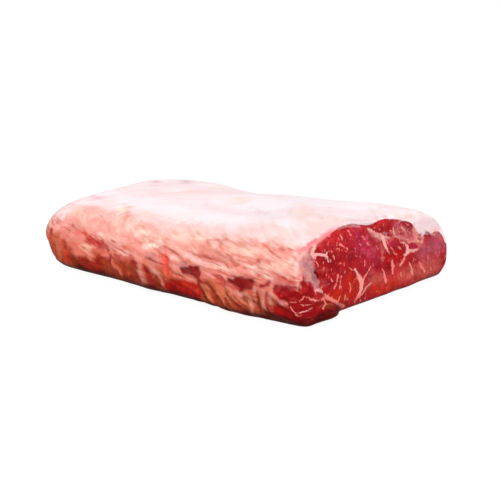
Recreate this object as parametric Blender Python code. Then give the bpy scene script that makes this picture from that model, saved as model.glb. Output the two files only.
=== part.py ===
"""A raw boneless strip loin of beef, cut across at one end and rounded at the other.

Two solids: the lean meat, and the fat cap that lies over its top and upper sides and shows as a
rim round the cut face. Metres, +Z up. The loin lies along X with its cut face at +X, and rests on
the plane z = 0. The thick side, where the bone was, faces -Y, and the thinner flank side faces +Y.
"""
import math

import bmesh
import bpy
import numpy as np
from mathutils import Matrix, Vector

# Overall sizes
LENGTH = 0.370
WIDTH = 0.243
X_CUT = LENGTH / 2
X_END = -LENGTH / 2
Y_NEAR = -WIDTH / 2
Y_FAR = WIDTH / 2

# The finished loin is moved by this much, so that the middle of its box is over the origin
TO_MIDDLE = (-0.00383, 0.00334, 0.0)

# Height of the top across the width, from the thick side (0) to the flank side (1)
STATIONS = (0.0, 0.14, 0.27, 0.45, 0.60, 0.78, 1.0)
CUT_HEIGHTS = (0.0715, 0.0780, 0.0880, 0.0848, 0.0825, 0.0790, 0.0542)
MIDDLE_HEIGHTS = (0.0644, 0.0680, 0.0712, 0.0722, 0.0731, 0.0700, 0.0590)
END_HEIGHTS = (0.0578, 0.0630, 0.0680, 0.0695, 0.0705, 0.0650, 0.0540)

# How far the edges are rounded
NEAR_CORNER = 0.036
NEAR_CORNER_LOW = 0.051
NEAR_CORNER_TOP = 0.050
FAR_CORNER = 0.048
TOP_EDGE = 0.020
TOP_EDGE_AT_END = 0.012
TOP_EDGE_AT_FLANK = 0.005
BOTTOM_EDGE = 0.011
RIM_EDGE = 0.004
RIM_EDGE_AT_FLANK = 0.009
NEAR_RIM_EDGE = 0.015
NEAR_RIM_TOP = 0.060
BOTTOM_RIM_EDGE = 0.007
BOTTOM_RIM_EDGE_AT_FLANK = 0.014
EDGE_ROLL = 0.92

# The sides draw in a little towards the rounded end, and lean in above and below their middle
NEAR_TAPER = 0.004
FAR_TAPER = 0.006
SIDE_MIDDLE = 0.032
SIDE_TUCK = 0.0036
CUT_SKEW = 0.003

# Height over the sloping top, as distance from it, and where the top starts, as a share of its height
TOP_SLOPE = 0.95
TOP_STARTS = 0.75
TOP_BLEND = 0.012

# Broad swells and hollows of the top: x, y, half-lengths along x and y, rise
TOP_SWELLS = (
    (-0.048, 0.085, 0.042, 0.055, -0.0055),
    (-0.100, 0.050, 0.050, 0.045, 0.0022),
    (0.130, 0.055, 0.040, 0.040, 0.0018),
    (0.050, -0.020, 0.035, 0.030, -0.0016),
    (-0.022, -0.018, 0.030, 0.035, -0.0014),
)
# Bulges of the lower thick side: x, half-length, how far out
SIDE_BULGES = (
    (-0.112, 0.020, 0.0020),
    (-0.012, 0.022, 0.0040),
    (0.116, 0.030, 0.0085),
)
BULGE_MIDDLE = 0.014
BULGE_HALF_HEIGHT = 0.022

# Folds and gashes in the fat of the thick side, as (x, z) points
SIDE_FOLDS = (
    ((-0.135, 0.046), (-0.098, 0.036), (-0.060, 0.033)),
    ((-0.040, 0.052), (0.011, 0.046), (0.038, 0.041)),
    ((0.053, 0.047), (0.080, 0.046), (0.104, 0.048), (0.137, 0.055)),
    ((0.063, 0.063), (0.080, 0.061)),
    ((0.134, 0.069), (0.176, 0.061)),
)
FOLD_DEPTH = 0.0024
FOLD_WIDTH = 0.0052
NEAR_SIDE_STARTS = -0.095
NEAR_SIDE_BLEND = 0.012

# Slanting bundles of meat low on the thick side
BUNDLE_START = 0.045
BUNDLE_END = 0.170
BUNDLE_TOP = 0.034
BUNDLE_SPACING = 0.0155
BUNDLE_SLOPE = 0.62
BUNDLE_DEPTH = 0.0016
BUNDLE_FULL_HEIGHT = 0.020
BUNDLE_START_BLEND = 0.020
BUNDLE_END_BLEND = 0.012

# The side muscle that wraps the lower near corner and stands out past the cut face
SIDE_MUSCLE_OUT = 0.0105
SIDE_MUSCLE_TOP = 0.062
SEAM_NEAR = ((-0.098, 0.0790), (-0.097, 0.0695), (-0.0925, 0.0450), (-0.0765, 0.0230), (-0.0495, 0.0050))
SEAM_NEAR_STEP = 0.011

# Seams of the cut face, as (y, z) points, and the bulge of its muscles
SEAM_MIDDLE = ((-0.0140, 0.0760), (-0.0030, 0.0660), (0.0064, 0.0613), (0.0083, 0.0510), (0.0103, 0.0395))
SEAM_FAR = ((0.0588, 0.0566), (0.0438, 0.0573), (0.0224, 0.0624), (0.0079, 0.0680))
SEAM_DEPTH = 0.0016
SEAM_WIDTH = 0.0042
EYE_AT = (-0.046, 0.046)
EYE_HALF = (0.048, 0.040)
EYE_BULGE = 0.0030
TAIL_AT = (0.072, 0.034)
TAIL_HALF = (0.045, 0.030)
TAIL_BULGE = 0.0018
FACE_REACH = 0.040

# The fat: its thickness across the width at the cut face and everywhere else, and its lower edge
FAT_STATIONS = (0.0, 0.05, 0.10, 0.25, 0.36, 0.43, 0.52, 0.60, 0.66, 0.72, 0.77, 0.82, 0.90, 1.0)
FAT_AT_CUT = (
    0.0100, 0.0070, 0.0036, 0.0034, 0.0040, 0.0060, 0.0034,
    0.0042, 0.0078, 0.0120, 0.0205, 0.0220, 0.0135, 0.0080,
)
FAT_INSIDE = 0.009
FAT_CHANGE = 0.045
FAT_EDGE_NEAR = 0.034
FAT_EDGE_FAR = 0.040
FAT_EDGE_WAVE = 0.003
FAT_EDGE_WAVES = 52.0
FAT_WAVE_SLANT = 14.0
FAT_GAP = 0.0003

# Uneven surface: size of the lumps, their depth on the sides and on the top, seed
LUMPS = (
    (0.042, 0.0016, 0.0012, 3),
    (0.019, 0.0009, 0.0004, 7),
)

# Grid of the outer skin, as cells along each direction, and of the seam between fat and lean
SKIN_CELLS = {"end": 6, "length": 46, "side": 5, "width": 22, "height": 13}
SEAM_CELLS = {"end": 4, "length": 16, "side": 4, "width": 18, "height": 4}
CUT_LINES = (0.0, 0.0016, 0.0045, 0.0095)
SEAM_PAST_CUT = 0.004
SEAM_BEHIND_CUT = 0.012
BRIM = 0.0
FOOT = 0.005
FIRST_LEVEL = 0.016
END_CORE = 0.050
SIDE_CORE = 0.075
CORE_LOW = 0.028
CORE_HIGH = 0.045
BOX_OUT = 0.040
BOX_LOW = -0.050
BOX_HIGH = 0.120
CAST_STEPS = 34
SAME_PLACE = 1e-6
SHARP_FROM = math.radians(35.0)


def between(start, stop, amount):
    amount = np.clip(amount, 0.0, 1.0)
    return start + (stop - start) * amount * amount * (3.0 - 2.0 * amount)


def hump(value, middle, half):
    return np.exp(-(((value - middle) / half) ** 2))


def rounded(first, second, radius):
    """Inside both forms, with the edge where they meet rounded."""
    over_first = np.maximum(first + radius, 0.0)
    over_second = np.maximum(second + radius, 0.0)
    return np.minimum(np.maximum(first, second), -radius) + np.hypot(over_first, over_second)


def through(position, stations, heights):
    """Height at a position on a smooth curve through the stations."""
    stations = np.asarray(stations)
    heights = np.asarray(heights)
    position = np.clip(position, stations[0], stations[-1])
    slopes = np.gradient(heights, stations)
    i = np.clip(np.searchsorted(stations, position) - 1, 0, len(stations) - 2)
    step = stations[i + 1] - stations[i]
    u = (position - stations[i]) / step
    start = (2 * u**3 - 3 * u**2 + 1) * heights[i] + (u**3 - 2 * u**2 + u) * step * slopes[i]
    stop = (3 * u**2 - 2 * u**3) * heights[i + 1] + (u**3 - u**2) * step * slopes[i + 1]
    return start + stop


def path_distance(u, v, points):
    """Distance in a plane to a line through the points."""
    nearest = np.full(np.shape(u), np.inf)
    for (u0, v0), (u1, v1) in zip(points[:-1], points[1:]):
        du, dv = u1 - u0, v1 - v0
        part = np.clip(((u - u0) * du + (v - v0) * dv) / (du * du + dv * dv), 0.0, 1.0)
        nearest = np.minimum(nearest, np.hypot(u - u0 - part * du, v - v0 - part * dv))
    return nearest


def random_at(i, j, k, seed):
    """A repeatable random value from 0 to 1 for each whole-number place."""
    mixed = i.astype(np.uint32) * np.uint32(73856093)
    mixed ^= j.astype(np.uint32) * np.uint32(19349663)
    mixed ^= k.astype(np.uint32) * np.uint32(83492791)
    mixed ^= np.uint32(seed * 2654435 + 97)
    mixed = (mixed ^ (mixed >> np.uint32(13))) * np.uint32(1274126177)
    mixed = (mixed ^ (mixed >> np.uint32(16))) * np.uint32(2246822519)
    return (mixed >> np.uint32(8)).astype(float) / 2**24


def unevenness(x, y, z, size, seed):
    """Smooth random lumps of one size, from -1 to 1."""
    place = [np.asarray(value) / size + 500.0 for value in (x, y, z)]
    whole = [np.floor(value).astype(np.int64) for value in place]
    part = [value - base for value, base in zip(place, whole)]
    part = [value * value * (3.0 - 2.0 * value) for value in part]
    total = 0.0
    for i in (0, 1):
        for j in (0, 1):
            for k in (0, 1):
                weight = 1.0
                for step, share in zip((i, j, k), part):
                    weight = weight * (share if step else 1.0 - share)
                total = total + weight * random_at(whole[0] + i, whole[1] + j, whole[2] + k, seed)
    return 2.0 * total - 1.0


def across(y):
    return (y - Y_NEAR) / WIDTH


def along(x):
    return (x - X_END) / LENGTH


def top_height(x, y):
    s, t = across(y), along(x)
    cut = through(s, STATIONS, CUT_HEIGHTS)
    middle = through(s, STATIONS, MIDDLE_HEIGHTS)
    end = through(s, STATIONS, END_HEIGHTS)
    height = np.where(t > 0.5, between(middle, cut, 2 * t - 1), between(end, middle, 2 * t))
    for at_x, at_y, half_x, half_y, rise in TOP_SWELLS:
        height = height + rise * hump(x, at_x, half_x) * hump(y, at_y, half_y)
    return height


def rolled_in(x, radius):
    """How far an edge of this radius has drawn in, close to the cut face."""
    part = EDGE_ROLL * np.clip((x - X_CUT + radius) / radius, 0.0, 1.0)
    return radius * (1.0 - np.sqrt(1.0 - part**2))


def plain_body(x, y, z):
    """Below zero inside the loin, without its fine relief and endless past the cut face."""
    s, t = across(y), along(x)
    drawn_in = np.clip(1.0 - t, 0.0, 1.0) ** 2
    tuck = SIDE_TUCK * (((z - SIDE_MIDDLE) / SIDE_MIDDLE) ** 2 - 0.5)
    bulge = sum(out * hump(x, at, half) for at, half, out in SIDE_BULGES)
    bulge = bulge * hump(z, BULGE_MIDDLE, BULGE_HALF_HEIGHT)
    near = Y_NEAR - y + tuck + NEAR_TAPER * drawn_in - bulge
    near = near + rolled_in(x, NEAR_RIM_EDGE) * between(1.0, 0.0, z / NEAR_RIM_TOP)
    far = y - Y_FAR + tuck + FAR_TAPER * drawn_in
    near_corner = between(NEAR_CORNER_LOW, NEAR_CORNER, z / NEAR_CORNER_TOP)
    sides = rounded(near, X_END - x + tuck, near_corner)
    sides = rounded(sides, far, FAR_CORNER)
    edge = TOP_EDGE + TOP_EDGE_AT_END * np.clip(1.0 - t, 0.0, 1.0)
    edge = edge + TOP_EDGE_AT_FLANK * np.clip(s, 0.0, 1.0)
    return rounded(sides, TOP_SLOPE * (z - top_height(x, y)), edge)


def relief(x, y, z):
    """How far the surface stands out from the plain form."""
    on_top = between(0.0, 1.0, (z - TOP_STARTS * top_height(x, y)) / TOP_BLEND)
    out = 0.0
    for size, on_sides, over_top, seed in LUMPS:
        depth = on_sides + (over_top - on_sides) * on_top
        out = out + depth * unevenness(x, y, z, size, seed)
    near_side = between(0.0, 1.0, (NEAR_SIDE_STARTS - y) / NEAR_SIDE_BLEND)
    for fold in SIDE_FOLDS:
        out = out - FOLD_DEPTH * near_side * hump(path_distance(x, z, fold), 0.0, FOLD_WIDTH)
    slant = (x * BUNDLE_SLOPE + z) / BUNDLE_SPACING + 0.5 * unevenness(x, y, z, 0.03, 5)
    low = between(1.0, 0.0, (z - BUNDLE_FULL_HEIGHT) / (BUNDLE_TOP - BUNDLE_FULL_HEIGHT))
    reach = between(0.0, 1.0, (x - BUNDLE_START) / BUNDLE_START_BLEND)
    reach = reach * between(1.0, 0.0, (x - BUNDLE_END) / BUNDLE_END_BLEND)
    return out + BUNDLE_DEPTH * near_side * low * reach * np.sin(2 * np.pi * slant)


def loin_body(x, y, z):
    """Below zero inside the loin, resting on z = 0 and rounded towards the rim of the cut."""
    rim_edge = between(RIM_EDGE, RIM_EDGE_AT_FLANK, across(y))
    outer = plain_body(x, y, z) - relief(x, y, z) + rolled_in(x, rim_edge)
    under_edge = between(BOTTOM_RIM_EDGE, BOTTOM_RIM_EDGE_AT_FLANK, across(y))
    return rounded(outer, rolled_in(x, under_edge) - z, BOTTOM_EDGE)


def fat_thickness(x, y):
    at_cut = through(across(y), FAT_STATIONS, FAT_AT_CUT)
    return between(FAT_INSIDE, at_cut, (x - X_CUT + FAT_CHANGE) / FAT_CHANGE)


def core_body(x, y, z, shrink=0.0):
    """Below zero inside the meat under the fat."""
    return plain_body(x, y, z) + fat_thickness(x, y) + shrink


def fat_edge_height(x, y):
    wave = FAT_EDGE_WAVE * np.sin(FAT_EDGE_WAVES * x + FAT_WAVE_SLANT * y)
    return between(FAT_EDGE_NEAR, FAT_EDGE_FAR, across(y)) + wave


def seam_distance(y, z):
    """Distance past the near seam, below zero on the side of the eye muscle."""
    seam_y = np.interp(z, [p[1] for p in SEAM_NEAR[::-1]], [p[0] for p in SEAM_NEAR[::-1]])
    return path_distance(y, z, SEAM_NEAR) * np.where(y < seam_y, 1.0, -1.0)


def face_out(y, z):
    """How far the cut face stands out past its flat plane."""
    past_seam = between(0.0, 1.0, seam_distance(y, z) / SEAM_NEAR_STEP)
    low = np.clip(1.0 - np.maximum(z, 0.0) / SIDE_MUSCLE_TOP, 0.0, 1.0) ** 0.8
    out = SIDE_MUSCLE_OUT * past_seam * low
    for (at_y, at_z), (half_y, half_z), bulge in (
        (EYE_AT, EYE_HALF, EYE_BULGE),
        (TAIL_AT, TAIL_HALF, TAIL_BULGE),
    ):
        away = ((y - at_y) / half_y) ** 2 + ((z - at_z) / half_z) ** 2
        out = out + bulge * np.clip(1.0 - away, 0.0, 1.0) ** 0.7
    for seam in (SEAM_NEAR, SEAM_MIDDLE, SEAM_FAR):
        out = out - SEAM_DEPTH * hump(path_distance(y, z, seam), 0.0, SEAM_WIDTH)
    return out + CUT_SKEW * across(y)


def carried(points, body):
    """Each box point brought in along a straight line to the surface of the body."""
    low = np.array((X_END + END_CORE, -SIDE_CORE, CORE_LOW))
    high = np.array((np.inf, SIDE_CORE, CORE_HIGH))
    core = np.clip(points, low, high)
    inside, outside = np.zeros(len(points)), np.ones(len(points))
    for _ in range(CAST_STEPS):
        middle = (inside + outside) / 2
        place = core + (points - core) * middle[:, None]
        within = body(*place.T) < 0.0
        inside = np.where(within, middle, inside)
        outside = np.where(within, outside, middle)
    return core + (points - core) * middle[:, None]


def face_places(points, body):
    """Places on the flat cut, spread evenly between the points round its rim."""
    y_low, y_high = points[:, 1].min(), points[:, 1].max()
    z_low, z_high = points[:, 2].min(), points[:, 2].max()
    u = ((points[:, 1] - y_low) / (y_high - y_low))[:, None]
    v = ((points[:, 2] - z_low) / (z_high - z_low))[:, None]

    def rim(y=None, z=None):
        rim_points = points.copy()
        if y is not None:
            rim_points[:, 1] = y
        if z is not None:
            rim_points[:, 2] = z
        return carried(rim_points, body)

    sides = (1 - u) * rim(y=y_low) + u * rim(y=y_high)
    levels = (1 - v) * rim(z=z_low) + v * rim(z=z_high)
    lower = (1 - u) * rim(y_low, z_low) + u * rim(y_high, z_low)
    upper = (1 - u) * rim(y_low, z_high) + u * rim(y_high, z_high)
    return sides + levels - (1 - v) * lower - v * upper


def grid_lines(cells, x_high, first_lines):
    """Where a box is cut across: closer together near the cut face."""
    body_start = X_END + END_CORE
    end = np.linspace(X_END - BOX_OUT, body_start, cells["end"] + 1)
    last = first_lines[-1]
    length = np.linspace(body_start, x_high - last, cells["length"] + 1)
    x = np.concatenate([end, length[1:], x_high - np.asarray(first_lines[-2::-1])])
    out = WIDTH / 2 + BOX_OUT
    side = np.linspace(SIDE_CORE, out, cells["side"] + 1)
    width = np.linspace(-SIDE_CORE, SIDE_CORE, cells["width"] + 1)
    y = np.concatenate([-side[:0:-1], width, side[1:]])
    return x, y


def cut_box(x_lines, y_lines, z_lines):
    """A box whose faces are cut into a grid at the lines."""
    mesh = bmesh.new()
    bmesh.ops.create_cube(mesh, size=1.0)
    for vertex in mesh.verts:
        for axis, lines in enumerate((x_lines, y_lines, z_lines)):
            vertex.co[axis] = lines[0] if vertex.co[axis] < 0 else lines[-1]
    for axis, lines in enumerate((x_lines, y_lines, z_lines)):
        normal = Vector((0.0, 0.0, 0.0))
        normal[axis] = 1.0
        for line in lines[1:-1]:
            everything = mesh.verts[:] + mesh.edges[:] + mesh.faces[:]
            place = normal * float(line)
            bmesh.ops.bisect_plane(mesh, geom=everything, dist=1e-7, plane_co=place, plane_no=normal)
    return mesh


def places_of(mesh):
    return np.array([vertex.co[:] for vertex in mesh.verts], dtype=float)


def move_to(mesh, places):
    for vertex, place in zip(mesh.verts, places):
        vertex.co = place


def merge_flat(mesh, axis, level):
    """One flat face in place of a grid of them."""
    flat = [f for f in mesh.faces if all(abs(v.co[axis] - level) < 1e-6 for v in f.verts)]
    bmesh.ops.dissolve_faces(mesh, faces=flat, use_verts=False)


def make_object(name, mesh):
    data = bpy.data.meshes.new(name)
    bmesh.ops.recalc_face_normals(mesh, faces=mesh.faces)
    mesh.to_mesh(data)
    mesh.free()
    thing = bpy.data.objects.new(name, data)
    bpy.context.scene.collection.objects.link(thing)
    return thing


def make_loin(name):
    """The whole loin as one closed skin: a gridded box shaped to the form of the meat."""
    x_lines, y_lines = grid_lines(SKIN_CELLS, X_CUT, CUT_LINES)
    z_lines = np.linspace(BOX_LOW, BOX_HIGH, SKIN_CELLS["height"] + 1)
    mesh = cut_box(x_lines, y_lines, z_lines)
    box = places_of(mesh)
    on_face = box[:, 0] > X_CUT - 1e-6
    places = np.empty_like(box)
    places[~on_face] = carried(box[~on_face], loin_body)
    places[on_face] = face_places(box[on_face], loin_body)
    near_face = np.clip((places[:, 0] - X_CUT + FACE_REACH) / FACE_REACH, 0.0, 1.0) ** 2
    places[:, 0] += near_face * face_out(places[:, 1], places[:, 2])
    places[np.abs(places[:, 2]) < 1e-5, 2] = 0.0
    move_to(mesh, places)
    merge_flat(mesh, 2, 0.0)
    bmesh.ops.triangulate(mesh, faces=mesh.faces, quad_method="SHORT_EDGE")
    return make_object(name, mesh)


def make_core(name, shrink):
    """The form that parts lean from fat: the meat under the fat, on a wide brim below its edge."""
    x_lines, y_lines = grid_lines(
        SEAM_CELLS, X_CUT + BOX_OUT, (0.0, BOX_OUT - SEAM_PAST_CUT, BOX_OUT + SEAM_BEHIND_CUT)
    )
    upper = np.linspace(FIRST_LEVEL, BOX_HIGH - FAT_EDGE_NEAR, SEAM_CELLS["height"])
    z_lines = np.concatenate([[BOX_LOW, BRIM, FOOT], upper])
    mesh = cut_box(x_lines, y_lines, z_lines)
    box = places_of(mesh)
    under_fat = box[:, 2] > (BRIM + FOOT) / 2
    edge = fat_edge_height(box[:, 0], box[:, 1]) - shrink
    rise = np.clip(1.0 - box[:, 2] / z_lines[-1], 0.0, 1.0)
    box[:, 2] = np.where(under_fat, box[:, 2] + between(FAT_EDGE_NEAR, edge, rise), box[:, 2])
    places = box.copy()
    level = np.abs(box[:, 2] - BRIM) < 1e-6
    places[level, 2] = edge[level]
    places[under_fat] = carried(box[under_fat], lambda x, y, z: core_body(x, y, z, shrink))
    move_to(mesh, places)
    bmesh.ops.remove_doubles(mesh, verts=mesh.verts, dist=SAME_PLACE)
    bmesh.ops.triangulate(mesh, faces=mesh.faces, quad_method="SHORT_EDGE")
    return make_object(name, mesh)


def cut_with(thing, cutter, operation):
    """Keeps the part of the thing inside or outside the cutter, and drops the cutter."""
    cut = thing.modifiers.new("Fat seam", "BOOLEAN")
    cut.operation = operation
    cut.solver = "EXACT"
    cut.object = cutter
    evaluated = thing.evaluated_get(bpy.context.evaluated_depsgraph_get())
    parted = bpy.data.meshes.new_from_object(evaluated)
    parted.transform(Matrix.Translation(TO_MIDDLE))
    thing.modifiers.remove(cut)
    thing.data = parted
    bpy.data.objects.remove(cutter, do_unlink=True)
    parted.shade_smooth()
    parted.set_sharp_from_angle(angle=SHARP_FROM)


def finish(name, colour, roughness):
    material = bpy.data.materials.new(name)
    material.use_nodes = True
    shader = material.node_tree.nodes["Principled BSDF"]
    shader.inputs["Base Color"].default_value = (*colour, 1.0)
    shader.inputs["Roughness"].default_value = roughness
    shader.inputs["Metallic"].default_value = 0.0
    return material


def main():
    for old in list(bpy.data.objects):
        bpy.data.objects.remove(old, do_unlink=True)

    lean = make_loin("lean")
    lean.data.materials.append(finish("Raw lean meat", (0.42, 0.035, 0.030), 0.38))
    cut_with(lean, make_core("core_of_meat", FAT_GAP), "INTERSECT")

    fat = make_loin("fat_cap")
    fat.data.materials.append(finish("Beef fat", (0.90, 0.74, 0.70), 0.45))
    cut_with(fat, make_core("core_under_fat", 0.0), "DIFFERENCE")


main()
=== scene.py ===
"""The looks of a raw boneless strip loin of beef: its marbled lean meat and its white fat cap.

Each piece starts as a box, is cut into a grid, brought in to the form of the loin, raised and
sunk by its folds and streaks, and parted along the seam between fat and lean. Places are worked
out where the loin was drawn, and moved to the row frame at the end. Marks on the meat are in
millimetres: on the cut face as (across, height), on the sides as (round the loin, height) and on
the top as (along, across).
"""
import math

import bmesh
import bpy
import numpy as np
from mathutils import Matrix, Vector


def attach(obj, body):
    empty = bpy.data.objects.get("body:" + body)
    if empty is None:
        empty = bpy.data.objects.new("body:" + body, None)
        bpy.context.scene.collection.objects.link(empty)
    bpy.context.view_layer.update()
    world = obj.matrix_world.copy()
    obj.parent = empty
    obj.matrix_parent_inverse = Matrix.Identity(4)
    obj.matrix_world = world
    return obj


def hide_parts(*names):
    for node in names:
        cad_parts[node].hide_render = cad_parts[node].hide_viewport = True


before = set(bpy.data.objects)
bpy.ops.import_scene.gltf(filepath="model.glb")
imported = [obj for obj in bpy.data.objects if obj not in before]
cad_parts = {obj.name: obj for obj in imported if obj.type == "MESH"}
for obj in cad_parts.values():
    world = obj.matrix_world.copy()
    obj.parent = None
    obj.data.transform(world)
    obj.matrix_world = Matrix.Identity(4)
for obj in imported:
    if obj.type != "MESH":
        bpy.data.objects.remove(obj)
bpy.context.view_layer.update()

# ---- Form of the loin, in metres -------------------------------------------------------------

LENGTH = 0.370
WIDTH = 0.243
X_CUT = LENGTH / 2
X_END = -LENGTH / 2
Y_NEAR = -WIDTH / 2
Y_FAR = WIDTH / 2
TO_MIDDLE = (-0.00383, 0.00334, 0.0)

# Height of the top across the width, from the thick side (0) to the flank side (1)
STATIONS = (0.0, 0.14, 0.27, 0.45, 0.60, 0.78, 1.0)
CUT_HEIGHTS = (0.0715, 0.0780, 0.0880, 0.0848, 0.0825, 0.0790, 0.0542)
MIDDLE_HEIGHTS = (0.0644, 0.0680, 0.0712, 0.0722, 0.0731, 0.0700, 0.0590)
END_HEIGHTS = (0.0578, 0.0630, 0.0680, 0.0695, 0.0705, 0.0650, 0.0540)

# How far the edges are rounded
NEAR_CORNER = 0.036
NEAR_CORNER_LOW = 0.051
NEAR_CORNER_TOP = 0.050
FAR_CORNER = 0.048
TOP_EDGE = 0.020
TOP_EDGE_AT_END = 0.012
TOP_EDGE_AT_FLANK = 0.005
BOTTOM_EDGE = 0.011
RIM_EDGE = 0.004
RIM_EDGE_AT_FLANK = 0.009
NEAR_RIM_EDGE = 0.015
NEAR_RIM_TOP = 0.060
BOTTOM_RIM_EDGE = 0.007
BOTTOM_RIM_EDGE_AT_FLANK = 0.014
EDGE_ROLL = 0.92

# The sides draw in towards the rounded end, and lean in above and below their middle
NEAR_TAPER = 0.004
FAR_TAPER = 0.006
SIDE_MIDDLE = 0.032
SIDE_TUCK = 0.0036
CUT_SKEW = 0.003
TOP_SLOPE = 0.95
TOP_STARTS = 0.75
TOP_BLEND = 0.012

# Broad swells of the top: x, y, half-lengths along x and y, rise
TOP_SWELLS = (
    (-0.048, 0.085, 0.042, 0.055, -0.0055),
    (-0.100, 0.050, 0.050, 0.045, 0.0022),
    (0.130, 0.055, 0.040, 0.040, 0.0018),
    (0.050, -0.020, 0.035, 0.030, -0.0016),
    (-0.022, -0.018, 0.030, 0.035, -0.0014),
)
# Bulges of the lower thick side: x, half-length, how far out
SIDE_BULGES = (
    (-0.112, 0.020, 0.0020),
    (-0.012, 0.022, 0.0040),
    (0.116, 0.030, 0.0085),
)
BULGE_MIDDLE = 0.014
BULGE_HALF_HEIGHT = 0.022

# Folds of the thick side as (x, z) points, and its slanting bundles of meat
SIDE_FOLDS = (
    ((-0.135, 0.046), (-0.098, 0.036), (-0.060, 0.033)),
    ((-0.040, 0.052), (0.011, 0.046), (0.038, 0.041)),
    ((0.053, 0.047), (0.080, 0.046), (0.104, 0.048), (0.137, 0.055)),
    ((0.063, 0.063), (0.080, 0.061)),
    ((0.134, 0.069), (0.176, 0.061)),
)
FOLD_DEPTH = 0.0024
FOLD_WIDTH = 0.0052
NEAR_SIDE_STARTS = -0.095
NEAR_SIDE_BLEND = 0.012
BUNDLE_START = 0.045
BUNDLE_END = 0.170
BUNDLE_TOP = 0.034
BUNDLE_FULL_HEIGHT = 0.020
BUNDLE_START_BLEND = 0.020
BUNDLE_END_BLEND = 0.012
BUNDLE_SPACING = 0.0155
BUNDLE_SLOPE = 0.62
BUNDLE_DEPTH = 0.0016

# The side muscle that stands out at the near corner, and the seams and bulges of the cut face
SIDE_MUSCLE_OUT = 0.0105
SIDE_MUSCLE_TOP = 0.062
SIDE_MUSCLE_TIP = -0.046
SIDE_MUSCLE_TAPER = 0.034
SEAM_NEAR = (
    (-0.098, 0.0790), (-0.097, 0.0695), (-0.0925, 0.0450), (-0.0765, 0.0230), (-0.0495, 0.0050),
)
SEAM_NEAR_STEP = 0.011
SEAM_MIDDLE = (
    (-0.0140, 0.0760), (-0.0030, 0.0660), (0.0064, 0.0613), (0.0083, 0.0510), (0.0103, 0.0395),
)
SEAM_FAR = ((0.0588, 0.0566), (0.0438, 0.0573), (0.0224, 0.0624), (0.0079, 0.0680))
SEAM_DEPTH = 0.0016
SEAM_WIDTH = 0.0042
EYE_AT = (-0.046, 0.046)
EYE_HALF = (0.048, 0.040)
EYE_BULGE = 0.0030
TAIL_AT = (0.072, 0.034)
TAIL_HALF = (0.045, 0.030)
TAIL_BULGE = 0.0018
FACE_REACH = 0.040

# The fat: its thickness across the width at the cut face and everywhere else, and its lower edge
FAT_STATIONS = (0.0, 0.05, 0.10, 0.25, 0.36, 0.43, 0.52, 0.60, 0.66, 0.72, 0.77, 0.82, 0.90, 1.0)
FAT_AT_CUT = (
    0.0100, 0.0070, 0.0036, 0.0034, 0.0040, 0.0060, 0.0034,
    0.0042, 0.0078, 0.0120, 0.0205, 0.0220, 0.0135, 0.0080,
)
FAT_INSIDE = 0.009
FAT_CHANGE = 0.045
FAT_EDGE_NEAR = 0.034
FAT_EDGE_FAR = 0.040
FAT_EDGE_WAVE = 0.003
FAT_EDGE_WAVES = 52.0
FAT_WAVE_SLANT = 14.0
FAT_GAP = 0.00006

# Uneven surface: size of the lumps, their depth on the sides and on the top, seed
LUMPS = (
    (0.042, 0.0016, 0.0012, 3),
    (0.019, 0.0009, 0.0004, 7),
)

# The box that the skin starts from, and the core that its points are brought in towards
END_CORE = 0.050
SIDE_CORE = 0.075
CORE_LOW = 0.028
CORE_HIGH = 0.045
BOX_OUT = 0.040
BOX_LOW = -0.050
BOX_HIGH = 0.120
HALVINGS = 13
SLOPE_STEP = 0.0002
SAME_PLACE = 1e-6
SHARP_FROM = math.radians(40.0)

# Cells of each grid along, across and up, as factors, since one cut makes at most a hundred
LEAN_CELLS = ((4, 78), (4, 76), (100,))
FAT_CELLS = ((4, 60), (2, 80), (56,))
SEAM_CELLS = {"end": 8, "length": 56, "side": 8, "width": 70, "height": 12}
SEAM_PAST_CUT = 0.004
SEAM_BEHIND_CUT = 0.012
BRIM = 0.0
FOOT = 0.005
FIRST_LEVEL = 0.016
UNDER_CELL = 0.007
RIM_BAND = 0.012
FLAT_BELOW = 1e-5
DEEPEST_REACH = 9.0

# Shares of the cells between the stops of the box, along, across and up
LEAN_SHARES = ((40, 308, 16), (50, 150, 50), (33, 20, 47))
FAT_SHARES = ((44, 308, 20), (50, 150, 50), (4, 14, 38))


def between(start, stop, amount):
    amount = np.clip(amount, 0.0, 1.0)
    return start + (stop - start) * amount * amount * (3.0 - 2.0 * amount)


def rising(value, start, width):
    """From 0 to 1 over a width that begins at the start."""
    return between(0.0, 1.0, (value - start) / width)


def falling(value, start, width):
    """From 1 to 0 over a width that begins at the start."""
    return between(1.0, 0.0, (value - start) / width)


def stretch(value, start, fade_in, end, fade_out):
    """1 within a stretch and 0 outside it, with a soft start and end."""
    return rising(value, start, fade_in) * falling(value, end, fade_out)


def hump(value, middle, half):
    return np.exp(-(((value - middle) / half) ** 2))


def rounded(first, second, radius):
    """Inside both forms, with the edge where they meet rounded."""
    over_first = np.maximum(first + radius, 0.0)
    over_second = np.maximum(second + radius, 0.0)
    return np.minimum(np.maximum(first, second), -radius) + np.hypot(over_first, over_second)


def through(position, stations, heights):
    """Height at a position on a smooth curve through the stations."""
    stations = np.asarray(stations)
    heights = np.asarray(heights)
    position = np.clip(position, stations[0], stations[-1])
    slopes = np.gradient(heights, stations)
    i = np.clip(np.searchsorted(stations, position) - 1, 0, len(stations) - 2)
    step = stations[i + 1] - stations[i]
    u = (position - stations[i]) / step
    start = (2 * u**3 - 3 * u**2 + 1) * heights[i] + (u**3 - 2 * u**2 + u) * step * slopes[i]
    stop = (3 * u**2 - 2 * u**3) * heights[i + 1] + (u**3 - u**2) * step * slopes[i + 1]
    return start + stop


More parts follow.
